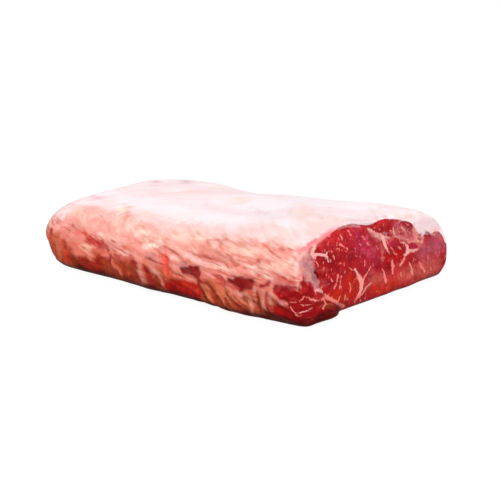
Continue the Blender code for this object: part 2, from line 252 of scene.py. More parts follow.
def path_distance(u, v, points):
    """Distance in a plane to a line through the points."""
    nearest = np.full(np.shape(u), np.inf)
    for (u0, v0), (u1, v1) in zip(points[:-1], points[1:]):
        du, dv = u1 - u0, v1 - v0
        part = np.clip(((u - u0) * du + (v - v0) * dv) / (du * du + dv * dv), 0.0, 1.0)
        nearest = np.minimum(nearest, np.hypot(u - u0 - part * du, v - v0 - part * dv))
    return nearest


def random_at(i, j, k, seed):
    """A repeatable random value from 0 to 1 for each whole-number place."""
    mixed = i.astype(np.uint32) * np.uint32(73856093)
    mixed ^= j.astype(np.uint32) * np.uint32(19349663)
    mixed ^= k.astype(np.uint32) * np.uint32(83492791)
    mixed ^= np.uint32(seed * 2654435 + 97)
    mixed = (mixed ^ (mixed >> np.uint32(13))) * np.uint32(1274126177)
    mixed = (mixed ^ (mixed >> np.uint32(16))) * np.uint32(2246822519)
    return (mixed >> np.uint32(8)).astype(float) / 2**24


def unevenness(x, y, z, size, seed):
    """Smooth random lumps of one size, from -1 to 1."""
    place = [np.asarray(value) / size + 500.0 for value in (x, y, z)]
    whole = [np.floor(value).astype(np.int64) for value in place]
    part = [value - base for value, base in zip(place, whole)]
    part = [value * value * (3.0 - 2.0 * value) for value in part]
    total = 0.0
    for i in (0, 1):
        for j in (0, 1):
            for k in (0, 1):
                weight = 1.0
                for step, share in zip((i, j, k), part):
                    weight = weight * (share if step else 1.0 - share)
                total = total + weight * random_at(whole[0] + i, whole[1] + j, whole[2] + k, seed)
    return 2.0 * total - 1.0


def drift(u, v, length, height, seed):
    """Smooth random values in a plane, longer one way than the other, in two sizes."""
    flat = np.zeros_like(u)
    first = unevenness(u / length, v / height, flat, 1.0, seed)
    return 0.7 * first + 0.3 * unevenness(u / length * 2.3, v / height * 2.3, flat, 1.0, seed + 1)


def across(y):
    return (y - Y_NEAR) / WIDTH


def along(x):
    return (x - X_END) / LENGTH


def top_height(x, y):
    s, t = across(y), along(x)
    cut = through(s, STATIONS, CUT_HEIGHTS)
    middle = through(s, STATIONS, MIDDLE_HEIGHTS)
    end = through(s, STATIONS, END_HEIGHTS)
    height = np.where(t > 0.5, between(middle, cut, 2 * t - 1), between(end, middle, 2 * t))
    for at_x, at_y, half_x, half_y, rise in TOP_SWELLS:
        height = height + rise * hump(x, at_x, half_x) * hump(y, at_y, half_y)
    return height


def rolled_in(x, radius):
    """How far an edge of this radius has drawn in, close to the cut face."""
    part = EDGE_ROLL * np.clip((x - X_CUT + radius) / radius, 0.0, 1.0)
    return radius * (1.0 - np.sqrt(1.0 - part**2))


def side_walls(x, y, z):
    """Below zero inside the sides and the rounded end."""
    drawn_in = np.clip(1.0 - along(x), 0.0, 1.0) ** 2
    tuck = SIDE_TUCK * (((z - SIDE_MIDDLE) / SIDE_MIDDLE) ** 2 - 0.5)
    bulge = sum(out * hump(x, at, half) for at, half, out in SIDE_BULGES)
    bulge = bulge * hump(z, BULGE_MIDDLE, BULGE_HALF_HEIGHT)
    near = Y_NEAR - y + tuck + NEAR_TAPER * drawn_in - bulge
    near = near + rolled_in(x, NEAR_RIM_EDGE) * between(1.0, 0.0, z / NEAR_RIM_TOP)
    far = y - Y_FAR + tuck + FAR_TAPER * drawn_in
    near_corner = between(NEAR_CORNER_LOW, NEAR_CORNER, z / NEAR_CORNER_TOP)
    return rounded(rounded(near, X_END - x + tuck, near_corner), far, FAR_CORNER)


def plain_body(x, y, z):
    """Below zero inside the loin, without its fine relief and endless past the cut face."""
    edge = TOP_EDGE + TOP_EDGE_AT_END * np.clip(1.0 - along(x), 0.0, 1.0)
    edge = edge + TOP_EDGE_AT_FLANK * np.clip(across(y), 0.0, 1.0)
    return rounded(side_walls(x, y, z), TOP_SLOPE * (z - top_height(x, y)), edge)


def smooth_loin(x, y, z):
    """Below zero inside the loin, resting on z = 0 and rounded towards the rim of the cut."""
    under_edge = between(BOTTOM_RIM_EDGE, BOTTOM_RIM_EDGE_AT_FLANK, across(y))
    rim_edge = between(RIM_EDGE, RIM_EDGE_AT_FLANK, across(y))
    outer = plain_body(x, y, z) + rolled_in(x, rim_edge)
    return rounded(outer, rolled_in(x, under_edge) - z, BOTTOM_EDGE)


def fat_thickness(x, y):
    at_cut = through(across(y), FAT_STATIONS, FAT_AT_CUT)
    return between(FAT_INSIDE, at_cut, (x - X_CUT + FAT_CHANGE) / FAT_CHANGE)


def fat_edge_height(x, y):
    wave = FAT_EDGE_WAVE * np.sin(FAT_EDGE_WAVES * x + FAT_WAVE_SLANT * y)
    return between(FAT_EDGE_NEAR, FAT_EDGE_FAR, across(y)) + wave


def broad_relief(x, y, z):
    """How far the lumps, folds and bundles stand out from the plain form."""
    on_top = between(0.0, 1.0, (z - TOP_STARTS * top_height(x, y)) / TOP_BLEND)
    out = 0.0
    for size, on_sides, over_top, seed in LUMPS:
        depth = on_sides + (over_top - on_sides) * on_top
        out = out + depth * unevenness(x, y, z, size, seed)
    near_side = between(0.0, 1.0, (NEAR_SIDE_STARTS - y) / NEAR_SIDE_BLEND)
    for fold in SIDE_FOLDS:
        out = out - FOLD_DEPTH * near_side * hump(path_distance(x, z, fold), 0.0, FOLD_WIDTH)
    slant = (x * BUNDLE_SLOPE + z) / BUNDLE_SPACING + 0.5 * unevenness(x, y, z, 0.03, 5)
    low = between(1.0, 0.0, (z - BUNDLE_FULL_HEIGHT) / (BUNDLE_TOP - BUNDLE_FULL_HEIGHT))
    reach = rising(x, BUNDLE_START, BUNDLE_START_BLEND)
    reach = reach * falling(x, BUNDLE_END, BUNDLE_END_BLEND)
    return out + BUNDLE_DEPTH * near_side * low * reach * np.sin(2 * np.pi * slant)


def face_out(y, z):
    """How far the cut face stands out past its flat plane."""
    seam_y = np.interp(z, [p[1] for p in SEAM_NEAR[::-1]], [p[0] for p in SEAM_NEAR[::-1]])
    past = path_distance(y, z, SEAM_NEAR) * np.where(y < seam_y, 1.0, -1.0)
    low = np.clip(1.0 - np.maximum(z, 0.0) / SIDE_MUSCLE_TOP, 0.0, 1.0) ** 0.8
    out = SIDE_MUSCLE_OUT * between(0.0, 1.0, past / SEAM_NEAR_STEP) * low
    out = out * between(0.0, 1.0, (SIDE_MUSCLE_TIP - y) / SIDE_MUSCLE_TAPER)
    for (at_y, at_z), (half_y, half_z), bulge in (
        (EYE_AT, EYE_HALF, EYE_BULGE),
        (TAIL_AT, TAIL_HALF, TAIL_BULGE),
    ):
        away = ((y - at_y) / half_y) ** 2 + ((z - at_z) / half_z) ** 2
        out = out + bulge * np.clip(1.0 - away, 0.0, 1.0) ** 0.7
    for seam in (SEAM_NEAR, SEAM_MIDDLE, SEAM_FAR):
        out = out - SEAM_DEPTH * hump(path_distance(y, z, seam), 0.0, SEAM_WIDTH)
    return out + CUT_SKEW * across(y)


# ---- Colours of the meat, as screen values --------------------------------------------------

EYE_RED = (165, 26, 34)
EYE_DARK = (146, 16, 24)
EYE_LIGHT = (192, 40, 44)
PURPLE_RED = (170, 36, 62)
PINK_RED = (200, 66, 92)
ORANGE_RED = (180, 34, 16)
BRICK_RED = (190, 78, 70)
MAUVE_RED = (182, 78, 94)
DEEP_RED = (142, 12, 18)
VIVID_RED = (166, 18, 8)
BRIGHT_RED = (198, 34, 18)
DARK_MEAT = (122, 22, 20)
BROWN_MEAT = (134, 40, 16)
BLACK_RED = (58, 5, 3)
RUST = (166, 58, 32)
BURNT_ORANGE = (194, 76, 48)
RED_BROWN = (152, 36, 20)
CORAL = (238, 86, 70)
HOLLOW_RED = (204, 56, 52)
MUSCLE_RED = (176, 34, 36)
HAZE_RED = (204, 104, 104)
BURGUNDY = (154, 36, 36)

WHITE_FAT = (255, 242, 246)
PINK_WHITE = (254, 229, 232)
CREAM = (254, 222, 204)
BLUSH = (252, 210, 202)
PINK_FRINGE = (240, 126, 132)
PINK_MIST = (250, 206, 202)
PINK_SHADE = (232, 144, 130)
PEACH = (252, 198, 184)
PINK_FAT = (249, 176, 166)
ROSE_FAT = (240, 156, 144)
SALMON = (232, 122, 104)
TAN_FAT = (206, 110, 76)
STRIP_TAN = (192, 98, 66)
ORANGE_FAT = (202, 102, 72)
BEIGE_FAT = (230, 176, 150)
FRINGE_FAT = (236, 168, 150)
MAUVE_FAT = (232, 204, 208)
MAUVE_SHADE = (184, 124, 128)
GREY_PINK = (210, 134, 128)
SEAM_FAT = (235, 167, 161)
STREAK_FAT = (234, 128, 118)
SILVER = (206, 142, 142)
LAVENDER_SHADE = (168, 104, 112)
DUSTY_PINK = (213, 134, 119)
PALE_GREY = (222, 220, 216)
GROOVE = (204, 104, 92)
GASH = (196, 62, 56)
YELLOW_FAT = (252, 236, 198)
HOT_PINK = (250, 182, 206)


def light(tone):
    """A colour as linear light, from its screen values."""
    share = np.array(tone) / 255.0
    return np.where(share <= 0.04045, share / 12.92, ((share + 0.055) / 1.055) ** 2.4)


# ---- Marks: colour, softness, half-width at each end, points --------------------------------

# Broad changes of colour over the cut face, from left to right
FACE_TINTS = (
    (EYE_DARK, 14, 10, 10, ((-84, 52), (-66, 50))),
    (EYE_LIGHT, 12, 3, 4, ((-86, 74), (-60, 80), (-20, 77))),
    (PURPLE_RED, 18, 6, 9, ((-34, 68), (-16, 58), (-8, 48))),
    (PINK_RED, 9, 0.5, 1.5, ((-20, 66), (-12, 60), (-8, 52))),
    (PINK_RED, 5, 0.5, 0.5, ((-12, 50), (-6, 46))),
    (PINK_RED, 5, 0.4, 0.4, ((-26, 58), (-18, 52))),
    (EYE_DARK, 7, 1, 1.5, ((-46, 62), (-40, 52))),
    (ORANGE_RED, 9, 6, 9, ((-70, 20), (-56, 16), (-38, 18))),
    (ORANGE_RED, 8, 4, 5, ((-46, 34), (-40, 28))),
    (BRICK_RED, 10, 6, 9, ((-12, 22), (20, 18), (66, 18), (96, 16))),
    (ORANGE_RED, 8, 3, 6, ((-8, 14), (12, 11), (30, 12))),
    (MAUVE_RED, 12, 9, 10, ((74, 38), (92, 38), (106, 40))),
    (PINK_RED, 6, 1, 1, ((100, 42), (108, 44))),
    (MAUVE_RED, 8, 5, 5, ((30, 71), (50, 64))),
    (EYE_DARK, 5, 2, 3, ((40, 71), (54, 64), (57, 58))),
    (EYE_LIGHT, 6, 3, 3, ((-2, 77), (14, 78))),
    (PURPLE_RED, 6, 3, 2, ((18, 56), (30, 52))),
    (VIVID_RED, 6, 3, 4, ((20, 42), (36, 40))),
    (DEEP_RED, 6, 3, 4, ((2, 34), (14, 34), (22, 30))),
    (EYE_LIGHT, 7, 3, 3, ((20, 20), (34, 24))),
)
# Between the fat cap and the eye: the pink fringe, and the grey-mauve edge of the rim, which is
# painted shade on the cut edge of the fat
RIM_TINTS = (
    (PINK_FRINGE, 3, 1.6, 1.2, ((-110, 70.5), (-90, 75.5), (-70, 81))),
    (GREY_PINK, 3, 2.0, 2.4, ((-101, 64), (-98, 70), (-93, 73))),
    (MAUVE_SHADE, 2.4, 0.4, 1.2, ((-60, 83.5), (-50, 84), (-40, 83.5), (-28, 80.5))),
    (BLUSH, 6, 2, 3, ((30, 80), (42, 79), (54, 76))),
    (MAUVE_FAT, 7, 7, 9, ((70, 66), (84, 63), (98, 60))),
    (PINK_FAT, 4, 0.6, 1.6, ((84, 55.5), (100, 52))),
    (PINK_FAT, 4, 2, 3, ((66, 60), (72, 56))),
    (DARK_MEAT, 3, 1.2, 1.5, ((78, 54), (84, 53))),
    (ROSE_FAT, 3, 1.6, 2.4, ((59, 66), (60.5, 58), (62, 52))),
    (ROSE_FAT, 3, 0.6, 0.6, ((-12, 80), (4, 82.5), (18, 81))),
)
# Streaks of fat along the rim, grey-mauve as painted shade
RIM_STREAKS = (
    (MAUVE_SHADE, 1.4, 0.2, 0.6, ((-58, 83.6), (-50, 83.6), (-40, 83), (-30, 80.8))),
    (MAUVE_FAT, 1.6, 1.0, 2.4, ((-44, 87.5), (-30, 84.5), (-18, 81.5), (-8, 81.5))),
    (MAUVE_FAT, 3.4, 4, 1.6, ((66, 60), (73, 56), (72, 53))),
)
SEAM_STREAKS = (
    # near seam, from the silverskin down to the bottom corner of the eye
    (SEAM_FAT, 1.6, 1.4, 2.2, ((-99, 34), (-91, 31.5), (-83, 27.5))),
    (STREAK_FAT, 2.4, 1.3, 2.4, ((-90, 24.5), (-80, 22.5), (-70, 18.5))),
    (STREAK_FAT, 2.0, 1.7, 1.9, ((-78, 24), (-68, 17.5), (-58, 11), (-49, 6))),
    (STREAK_FAT, 1.4, 1.6, 0.8, ((-86, 24), (-87, 19), (-91, 15))),
    (TAN_FAT, 1.2, 0.9, 0.5, ((-86, 18), (-78, 16), (-68, 12))),
    # middle seam and its two branches
    (SEAM_FAT, 2.8, 1.2, 3.2, ((-13, 75), (-6, 70), (2, 65.5), (8, 62.5))),
    (SEAM_FAT, 1.4, 2.6, 0.7, ((10, 62), (12.5, 55), (16, 48.5), (20, 43.5))),
    (SEAM_FAT, 2.2, 2.0, 1.0, ((-4, 69), (6, 64.5), (14, 61.5), (20, 60))),
    # under the upper muscle, and the forked seam with its red spot
    (SEAM_FAT, 2.6, 0.4, 0.9, ((26, 60.5), (38, 57), (50, 52.5))),
    (SEAM_FAT, 2.4, 0.8, 2.0, ((38, 52), (44, 50.5), (47.5, 46), (47, 41))),
    (SEAM_FAT, 2.2, 2.0, 0.8, ((43.5, 38), (50, 41.5), (56, 40.5), (64, 40))),
    (ROSE_FAT, 3.0, 1.2, 1.2, ((49, 50), (56, 50.5), (64, 48.5), (72, 46.5))),
)
SEAM_TINTS = (
    (HAZE_RED, 3.6, 1.4, 0.6, ((5, 63), (8.5, 52), (10.5, 43), (9, 37))),
    (HAZE_RED, 4.0, 0.6, 1.6, ((22, 60), (34, 57.5), (46, 55), (62, 52.5))),
    (HAZE_RED, 5.0, 0.4, 0.6, ((62, 47), (72, 45), (82, 40))),
    (HAZE_RED, 5.0, 0.4, 1.0, ((62, 60), (58, 54))),
    (HAZE_RED, 6.0, 1.0, 2.6, ((-12, 73), (-4, 66), (4, 60))),
    (HAZE_RED, 7.0, 1.0, 2.4, ((26, 65), (42, 61), (56, 57))),
    (HAZE_RED, 5.0, 0.2, 0.4, ((14, 60), (20, 54))),
    (BROWN_MEAT, 1.6, 1.6, 1.0, ((-86, 16.5), (-74, 13.5), (-60, 7.5))),
    (DARK_MEAT, 1.0, 0.5, 0.4, ((-90, 28.5), (-82, 26))),
    (DARK_MEAT, 0.9, 0.4, 0.4, ((-84, 20.5), (-72, 16.5))),
    (BLACK_RED, 1.6, 0.8, 0.6, ((-84, 11), (-66, 7))),
    (DARK_MEAT, 2.4, 1.6, 2.0, ((-112, 11), (-100, 9), (-86, 9))),
    (DARK_MEAT, 2.0, 0.8, 1.0, ((-97, 24), (-90, 21))),
    (MAUVE_SHADE, 1.6, 0.8, 0.8, ((12, 66), (17, 64.5))),
    (GREY_PINK, 3.0, 1.6, 2.4, ((63, 55), (68, 52), (73, 50))),
    (PINK_RED, 2.4, 1.0, 1.0, ((-2, 61), (2, 59))),
    (PURPLE_RED, 1.6, 2.6, 2.2, ((53, 46.5), (59, 44))),
)
FACE_STREAKS = (
    # forked white fat at the top left of the eye
    (SEAM_FAT, 1.0, 1.8, 2.4, ((-92, 73), (-95, 67), (-92, 62.5))),
    (SEAM_FAT, 1.0, 2.0, 1.2, ((-93, 64.5), (-86, 63.5), (-78, 62))),
    (SEAM_FAT, 0.9, 1.2, 0.5, ((-78, 64), (-76.5, 59), (-75, 55.5))),
    (STREAK_FAT, 0.8, 0.8, 0.3, ((-94, 60), (-90, 57.5), (-88.5, 53))),
    # squiggles and spots
    (STREAK_FAT, 0.8, 0.8, 0.5, ((-66, 64.5), (-63, 66.5), (-60.5, 65), (-61, 62.5))),
    (STREAK_FAT, 0.8, 0.9, 0.5, ((-59, 69.5), (-54, 66), (-49.5, 63), (-48, 58))),
    (STREAK_FAT, 0.8, 0.7, 0.5, ((-58, 63.5), (-55.5, 62))),
    (STREAK_FAT, 0.9, 0.6, 0.8, ((-58, 77), (-55.5, 73.5))),
    (STREAK_FAT, 0.8, 0.9, 0.5, ((-46, 79), (-44, 75.5), (-42, 73.5))),
    (STREAK_FAT, 1.0, 0.9, 0.6, ((-69.5, 59.5), (-67.5, 56.5))),
    (STREAK_FAT, 1.2, 0.8, 0.6, ((-60.5, 51.5), (-58.5, 50.5))),
    (STREAK_FAT, 1.2, 0.8, 0.8, ((-83.5, 76.5), (-82.5, 76))),
    (STREAK_FAT, 1.2, 0.6, 0.6, ((-73.5, 79.5), (-72, 78.5))),
    (STREAK_FAT, 1.2, 0.5, 0.4, ((-76.5, 72), (-74.5, 71))),
    (STREAK_FAT, 1.2, 0.6, 0.5, ((-38, 61.5), (-36.5, 60.5))),
    (STREAK_FAT, 1.3, 0.6, 0.6, ((-36.5, 54), (-34.5, 52.5))),
    (STREAK_FAT, 1.0, 0.7, 1.0, ((-23, 45.5), (-22, 41.5))),
    # streaks that rise from the bottom of the eye
    (STREAK_FAT, 0.9, 0.7, 1.1, ((-62.5, 40.5), (-63.5, 34.5), (-67, 28))),
    (STREAK_FAT, 0.9, 0.9, 0.7, ((-57, 37.5), (-58.5, 31.5), (-59, 26))),
    (STREAK_FAT, 1.4, 0.6, 0.5, ((-71.5, 38), (-70, 36))),
    (STREAK_FAT, 1.1, 0.5, 0.8, ((-50, 19.5), (-49, 15.5))),
    (STREAK_FAT, 1.0, 0.4, 0.5, ((-54, 31), (-57.5, 25.5))),
    (STREAK_FAT, 1.0, 0.4, 0.8, ((-46.5, 44.5), (-42, 41), (-37.5, 41))),
    (SEAM_FAT, 1.3, 1.7, 1.2, ((-37, 41), (-34, 36), (-30, 31))),
    (ROSE_FAT, 2.4, 1.6, 4.0, ((-33, 34), (-28, 29), (-25.5, 24.5))),
    (STREAK_FAT, 1.0, 0.9, 1.5, ((-12, 37.5), (-18, 32.5), (-23.5, 27))),
    (ROSE_FAT, 2.2, 3.6, 1.8, ((-25.5, 24.5), (-26.5, 17), (-29.5, 10.5))),
    (STREAK_FAT, 1.1, 1.4, 0.9, ((-29.5, 10.5), (-33, 6.5))),
    (STREAK_FAT, 1.1, 1.1, 1.3, ((-9, 21), (-16, 18.5), (-22, 14), (-26, 10.5))),
    (STREAK_FAT, 1.1, 0.4, 1.0, ((-43, 24), (-39, 28), (-33, 30.5))),
    # streaks of the long lower muscle
    (STREAK_FAT, 1.0, 0.6, 2.0, ((8, 31.5), (11.5, 26.5), (14, 19.5), (15, 17))),
    (STREAK_FAT, 1.3, 1.8, 1.5, ((24.5, 35.5), (26.5, 30), (25, 23))),
    (STREAK_FAT, 1.2, 1.7, 1.3, ((42.5, 34.5), (36.5, 29))),
    (STREAK_FAT, 1.0, 0.9, 1.6, ((51, 29.5), (54.5, 22.5), (56.5, 16))),
    (STREAK_FAT, 2.2, 0.8, 1.3, ((67.5, 26.5), (72, 19.5), (78, 14.5))),
    (STREAK_FAT, 1.8, 0.7, 0.5, ((37.5, 21), (39, 17.5))),
    # streaks of the upper muscle, and spots beside the middle seam
    (ROSE_FAT, 2.0, 0.5, 0.3, ((-9, 71), (-4, 74.5))),
    (ROSE_FAT, 2.0, 0.5, 0.4, ((-3, 57), (2, 52))),
    (STREAK_FAT, 1.4, 0.5, 0.3, ((3, 71.5), (8, 69))),
    (STREAK_FAT, 1.8, 0.6, 0.3, ((15, 58), (18.5, 54.5))),
    (STREAK_FAT, 1.6, 0.6, 0.4, ((21, 67), (26, 64))),
    (STREAK_FAT, 1.8, 0.6, 0.5, ((31, 66), (37, 62))),
    (STREAK_FAT, 1.8, 0.5, 0.5, ((45, 70), (51, 66))),
    (STREAK_FAT, 1.8, 0.6, 0.5, ((49, 62), (54, 58))),
    (STREAK_FAT, 1.8, 0.5, 0.5, ((33, 49), (38, 45.5))),
    (STREAK_FAT, 1.8, 0.5, 0.4, ((26, 45), (31, 41))),
    (STREAK_FAT, 1.8, 0.4, 0.5, ((21, 50), (26, 47))),
    (STREAK_FAT, 2.0, 0.5, 0.5, ((-26, 70), (-22, 67))),
    (STREAK_FAT, 2.0, 0.5, 0.5, ((-18, 62), (-14, 60))),
    (STREAK_FAT, 2.0, 0.4, 0.4, ((-30, 64), (-27, 62))),
    (ROSE_FAT, 1.6, 0.7, 1.4, ((25, 69), (26.5, 65.5), (28.5, 61.5))),
    (ROSE_FAT, 1.9, 0.7, 0.9, ((38.5, 67), (42, 64), (47, 60))),
    (ROSE_FAT, 2.2, 0.5, 0.5, ((33, 72.5), (36, 74))),
)
# The rounded end and the left of the thick side
LEFT_TINTS = (
    (PINK_FAT, 6, 3, 4, ((-190, 42), (-170, 45), (-150, 46))),
    (PINK_WHITE, 12, 4, 6, ((-205, 64), (-186, 57), (-168, 59))),
    (BURNT_ORANGE, 3, 4, 7.5, ((-161, 38), (-160, 26), (-158, 10))),
    (ORANGE_FAT, 3, 3.6, 4.4, ((-147, 37), (-145, 24), (-143, 12))),
    (ORANGE_FAT, 4, 2.6, 3.0, ((-178, 36), (-176, 22), (-172, 12))),
    (BURNT_ORANGE, 3, 4, 8.5, ((-135, 30), (-131, 22), (-127, 11))),
    (BRIGHT_RED, 7, 1.0, 1.5, ((-133, 24), (-130, 16))),
    (BROWN_MEAT, 5, 5, 8, ((-120, 13), (-112, 8))),
    (SALMON, 5, 6, 7, ((-114, 27), (-104, 24))),
    (RED_BROWN, 5, 8, 9, ((-102, 13), (-90, 13), (-76, 14))),
    (RUST, 5, 8, 9, ((-70, 14), (-56, 14), (-46, 14))),
    (BROWN_MEAT, 4, 2, 2, ((-58, 9), (-44, 9))),
    (SALMON, 3, 2.6, 4, ((-112, 22), (-99, 27), (-92, 23))),
    (BEIGE_FAT, 4, 3.4, 3.4, ((-102, 32), (-94, 30))),
    (CORAL, 5, 1.0, 2.0, ((-126, 44), (-112, 43), (-98, 41))),
    (HOLLOW_RED, 3.5, 2.8, 4.4, ((-103, 38), (-92, 38.5), (-78, 37))),
    (BRICK_RED, 3, 2.0, 2.6, ((-86, 33), (-78, 33.5), (-70, 36))),
    (BURGUNDY, 2.4, 2.0, 1.6, ((-67, 32), (-62, 28), (-63, 23))),
    (SALMON, 2.0, 1.4, 1.8, ((-76, 27), (-69, 27.5), (-64, 31), (-60, 35))),
    (ROSE_FAT, 3, 3.6, 4.0, ((-62, 38.5), (-52, 38), (-46, 40))),
    (PEACH, 3.5, 1.8, 2.6, ((-47, 34), (-40, 35), (-32, 35))),
    (BRICK_RED, 2.0, 1.4, 1.6, ((-52, 29.5), (-45, 30))),
    (SALMON, 4, 1.2, 1.6, ((-58, 21), (-51, 16), (-46, 12))),
    (PINK_FAT, 5, 3, 3, ((-118, 54), (-96, 52), (-70, 54))),
    (ROSE_FAT, 6, 0.8, 1.2, ((-118, 57), (-92, 57), (-68, 53))),
    (ROSE_FAT, 4, 1.4, 1.6, ((-96, 52), (-84, 50))),
    (ROSE_FAT, 3, 1.0, 1.0, ((-60, 50.5), (-50, 49.5))),
    (PEACH, 5, 1.5, 1.5, ((-88, 46), (-66, 46), (-50, 45))),
)
MIDDLE_TINTS = (
    (RUST, 4, 6.5, 6.0, ((-36, 20), (-24, 21), (-16, 24))),
    (BURGUNDY, 3, 2.0, 2.0, ((-26, 28), (-15, 29))),
    (BROWN_MEAT, 4, 3, 3, ((-38, 10), (-18, 11))),
    (SALMON, 5, 2.0, 2.6, ((-38, 42), (-26, 41), (-18, 40))),
    (ROSE_FAT, 4, 3.0, 3.0, ((-20, 37), (-14, 33))),
    (CREAM, 6, 1.6, 1.4, ((-32, 57), (-20, 56), (-10, 50))),
    (CREAM, 4, 2.4, 2.0, ((-14, 47), (0, 48), (8, 54))),
    (DUSTY_PINK, 3.4, 2.8, 3.4, ((-13, 28), (-10, 20), (-8, 13))),
    (GREY_PINK, 4, 2.0, 3.0, ((-5, 39), (6, 38), (8, 34))),
    (DUSTY_PINK, 4, 4.4, 4.0, ((1, 33), (6, 26), (10, 21))),
    (BURGUNDY, 1.8, 1.6, 4.0, ((-8, 27.5), (-2, 20), (3, 12))),
    (BROWN_MEAT, 3, 3.0, 3.4, ((8, 17), (12, 11))),
    (BURGUNDY, 1.6, 0.6, 1.0, ((-6, 35.5), (1, 35.5))),
    (DUSTY_PINK, 2.6, 0.8, 0.8, ((13, 20), (16, 14), (20, 9))),
    (CORAL, 6, 5.0, 6.0, ((20, 42), (23, 36), (25, 28))),
    (HOLLOW_RED, 5, 0.6, 2, ((22, 41), (24, 35))),
    (BURNT_ORANGE, 5, 1.4, 2.4, ((25, 29), (25, 23))),
    (SALMON, 3, 2.4, 2.6, ((30, 33), (33, 26), (44, 25), (61, 23.5))),
    (VIVID_RED, 2.4, 7.6, 8.6, ((31, 12), (46, 12), (60, 12))),
    (VIVID_RED, 3, 3, 3, ((22, 11), (28, 9))),
    (BRIGHT_RED, 4, 1.0, 3.0, ((42, 19), (54, 18), (63, 16))),
    (DARK_MEAT, 6, 1.5, 3, ((30, 10), (44, 7), (60, 6))),
    (HAZE_RED, 3.6, 4.6, 6.0, ((44, 33), (53, 34), (63, 34.5))),
    (DARK_MEAT, 2.2, 4.0, 5.8, ((44.5, 33), (53, 34), (62, 34.5))),
    (FRINGE_FAT, 1.8, 0.6, 1.0, ((37, 33), (42, 28), (51, 26), (61, 26))),
    (BURGUNDY, 2, 1.0, 2.6, ((57, 36), (64, 34))),
    (BURGUNDY, 2.4, 2.6, 4.0, ((63, 29), (68, 25), (69, 18))),
    (TAN_FAT, 1.6, 0.7, 0.6, ((47, 27.6), (56, 27.0), (63, 26.8))),
    (GREY_PINK, 3, 1.6, 1.6, ((42, 38), (50, 39))),
    (PEACH, 3.4, 2.0, 1.4, ((28, 42), (34, 41.5), (38, 40))),
    (GREY_PINK, 3, 1.4, 1.4, ((28, 35), (36, 35))),
    (BEIGE_FAT, 3, 1.4, 1.4, ((33, 32.5), (37, 28))),
    (ROSE_FAT, 4, 3.0, 3.0, ((76, 33), (88, 33))),
    (ORANGE_FAT, 3, 3.4, 3.6, ((80, 28), (88, 24), (94, 18))),
    (SALMON, 4, 2.0, 1.6, ((92, 30), (98, 25))),
    (TAN_FAT, 2.4, 2.4, 2.4, ((70, 21), (77, 15), (83, 9))),
    (BROWN_MEAT, 1.6, 1.0, 1.6, ((69, 26), (77, 24), (84, 20))),
    (RUST, 2.4, 2.6, 3.6, ((82, 18), (87, 14), (91, 8))),
    (BROWN_MEAT, 2.0, 1.4, 1.8, ((69, 16), (74, 11))),
    (MUSCLE_RED, 3.4, 1.0, 1.4, ((88, 35), (96, 34), (101, 31))),
)
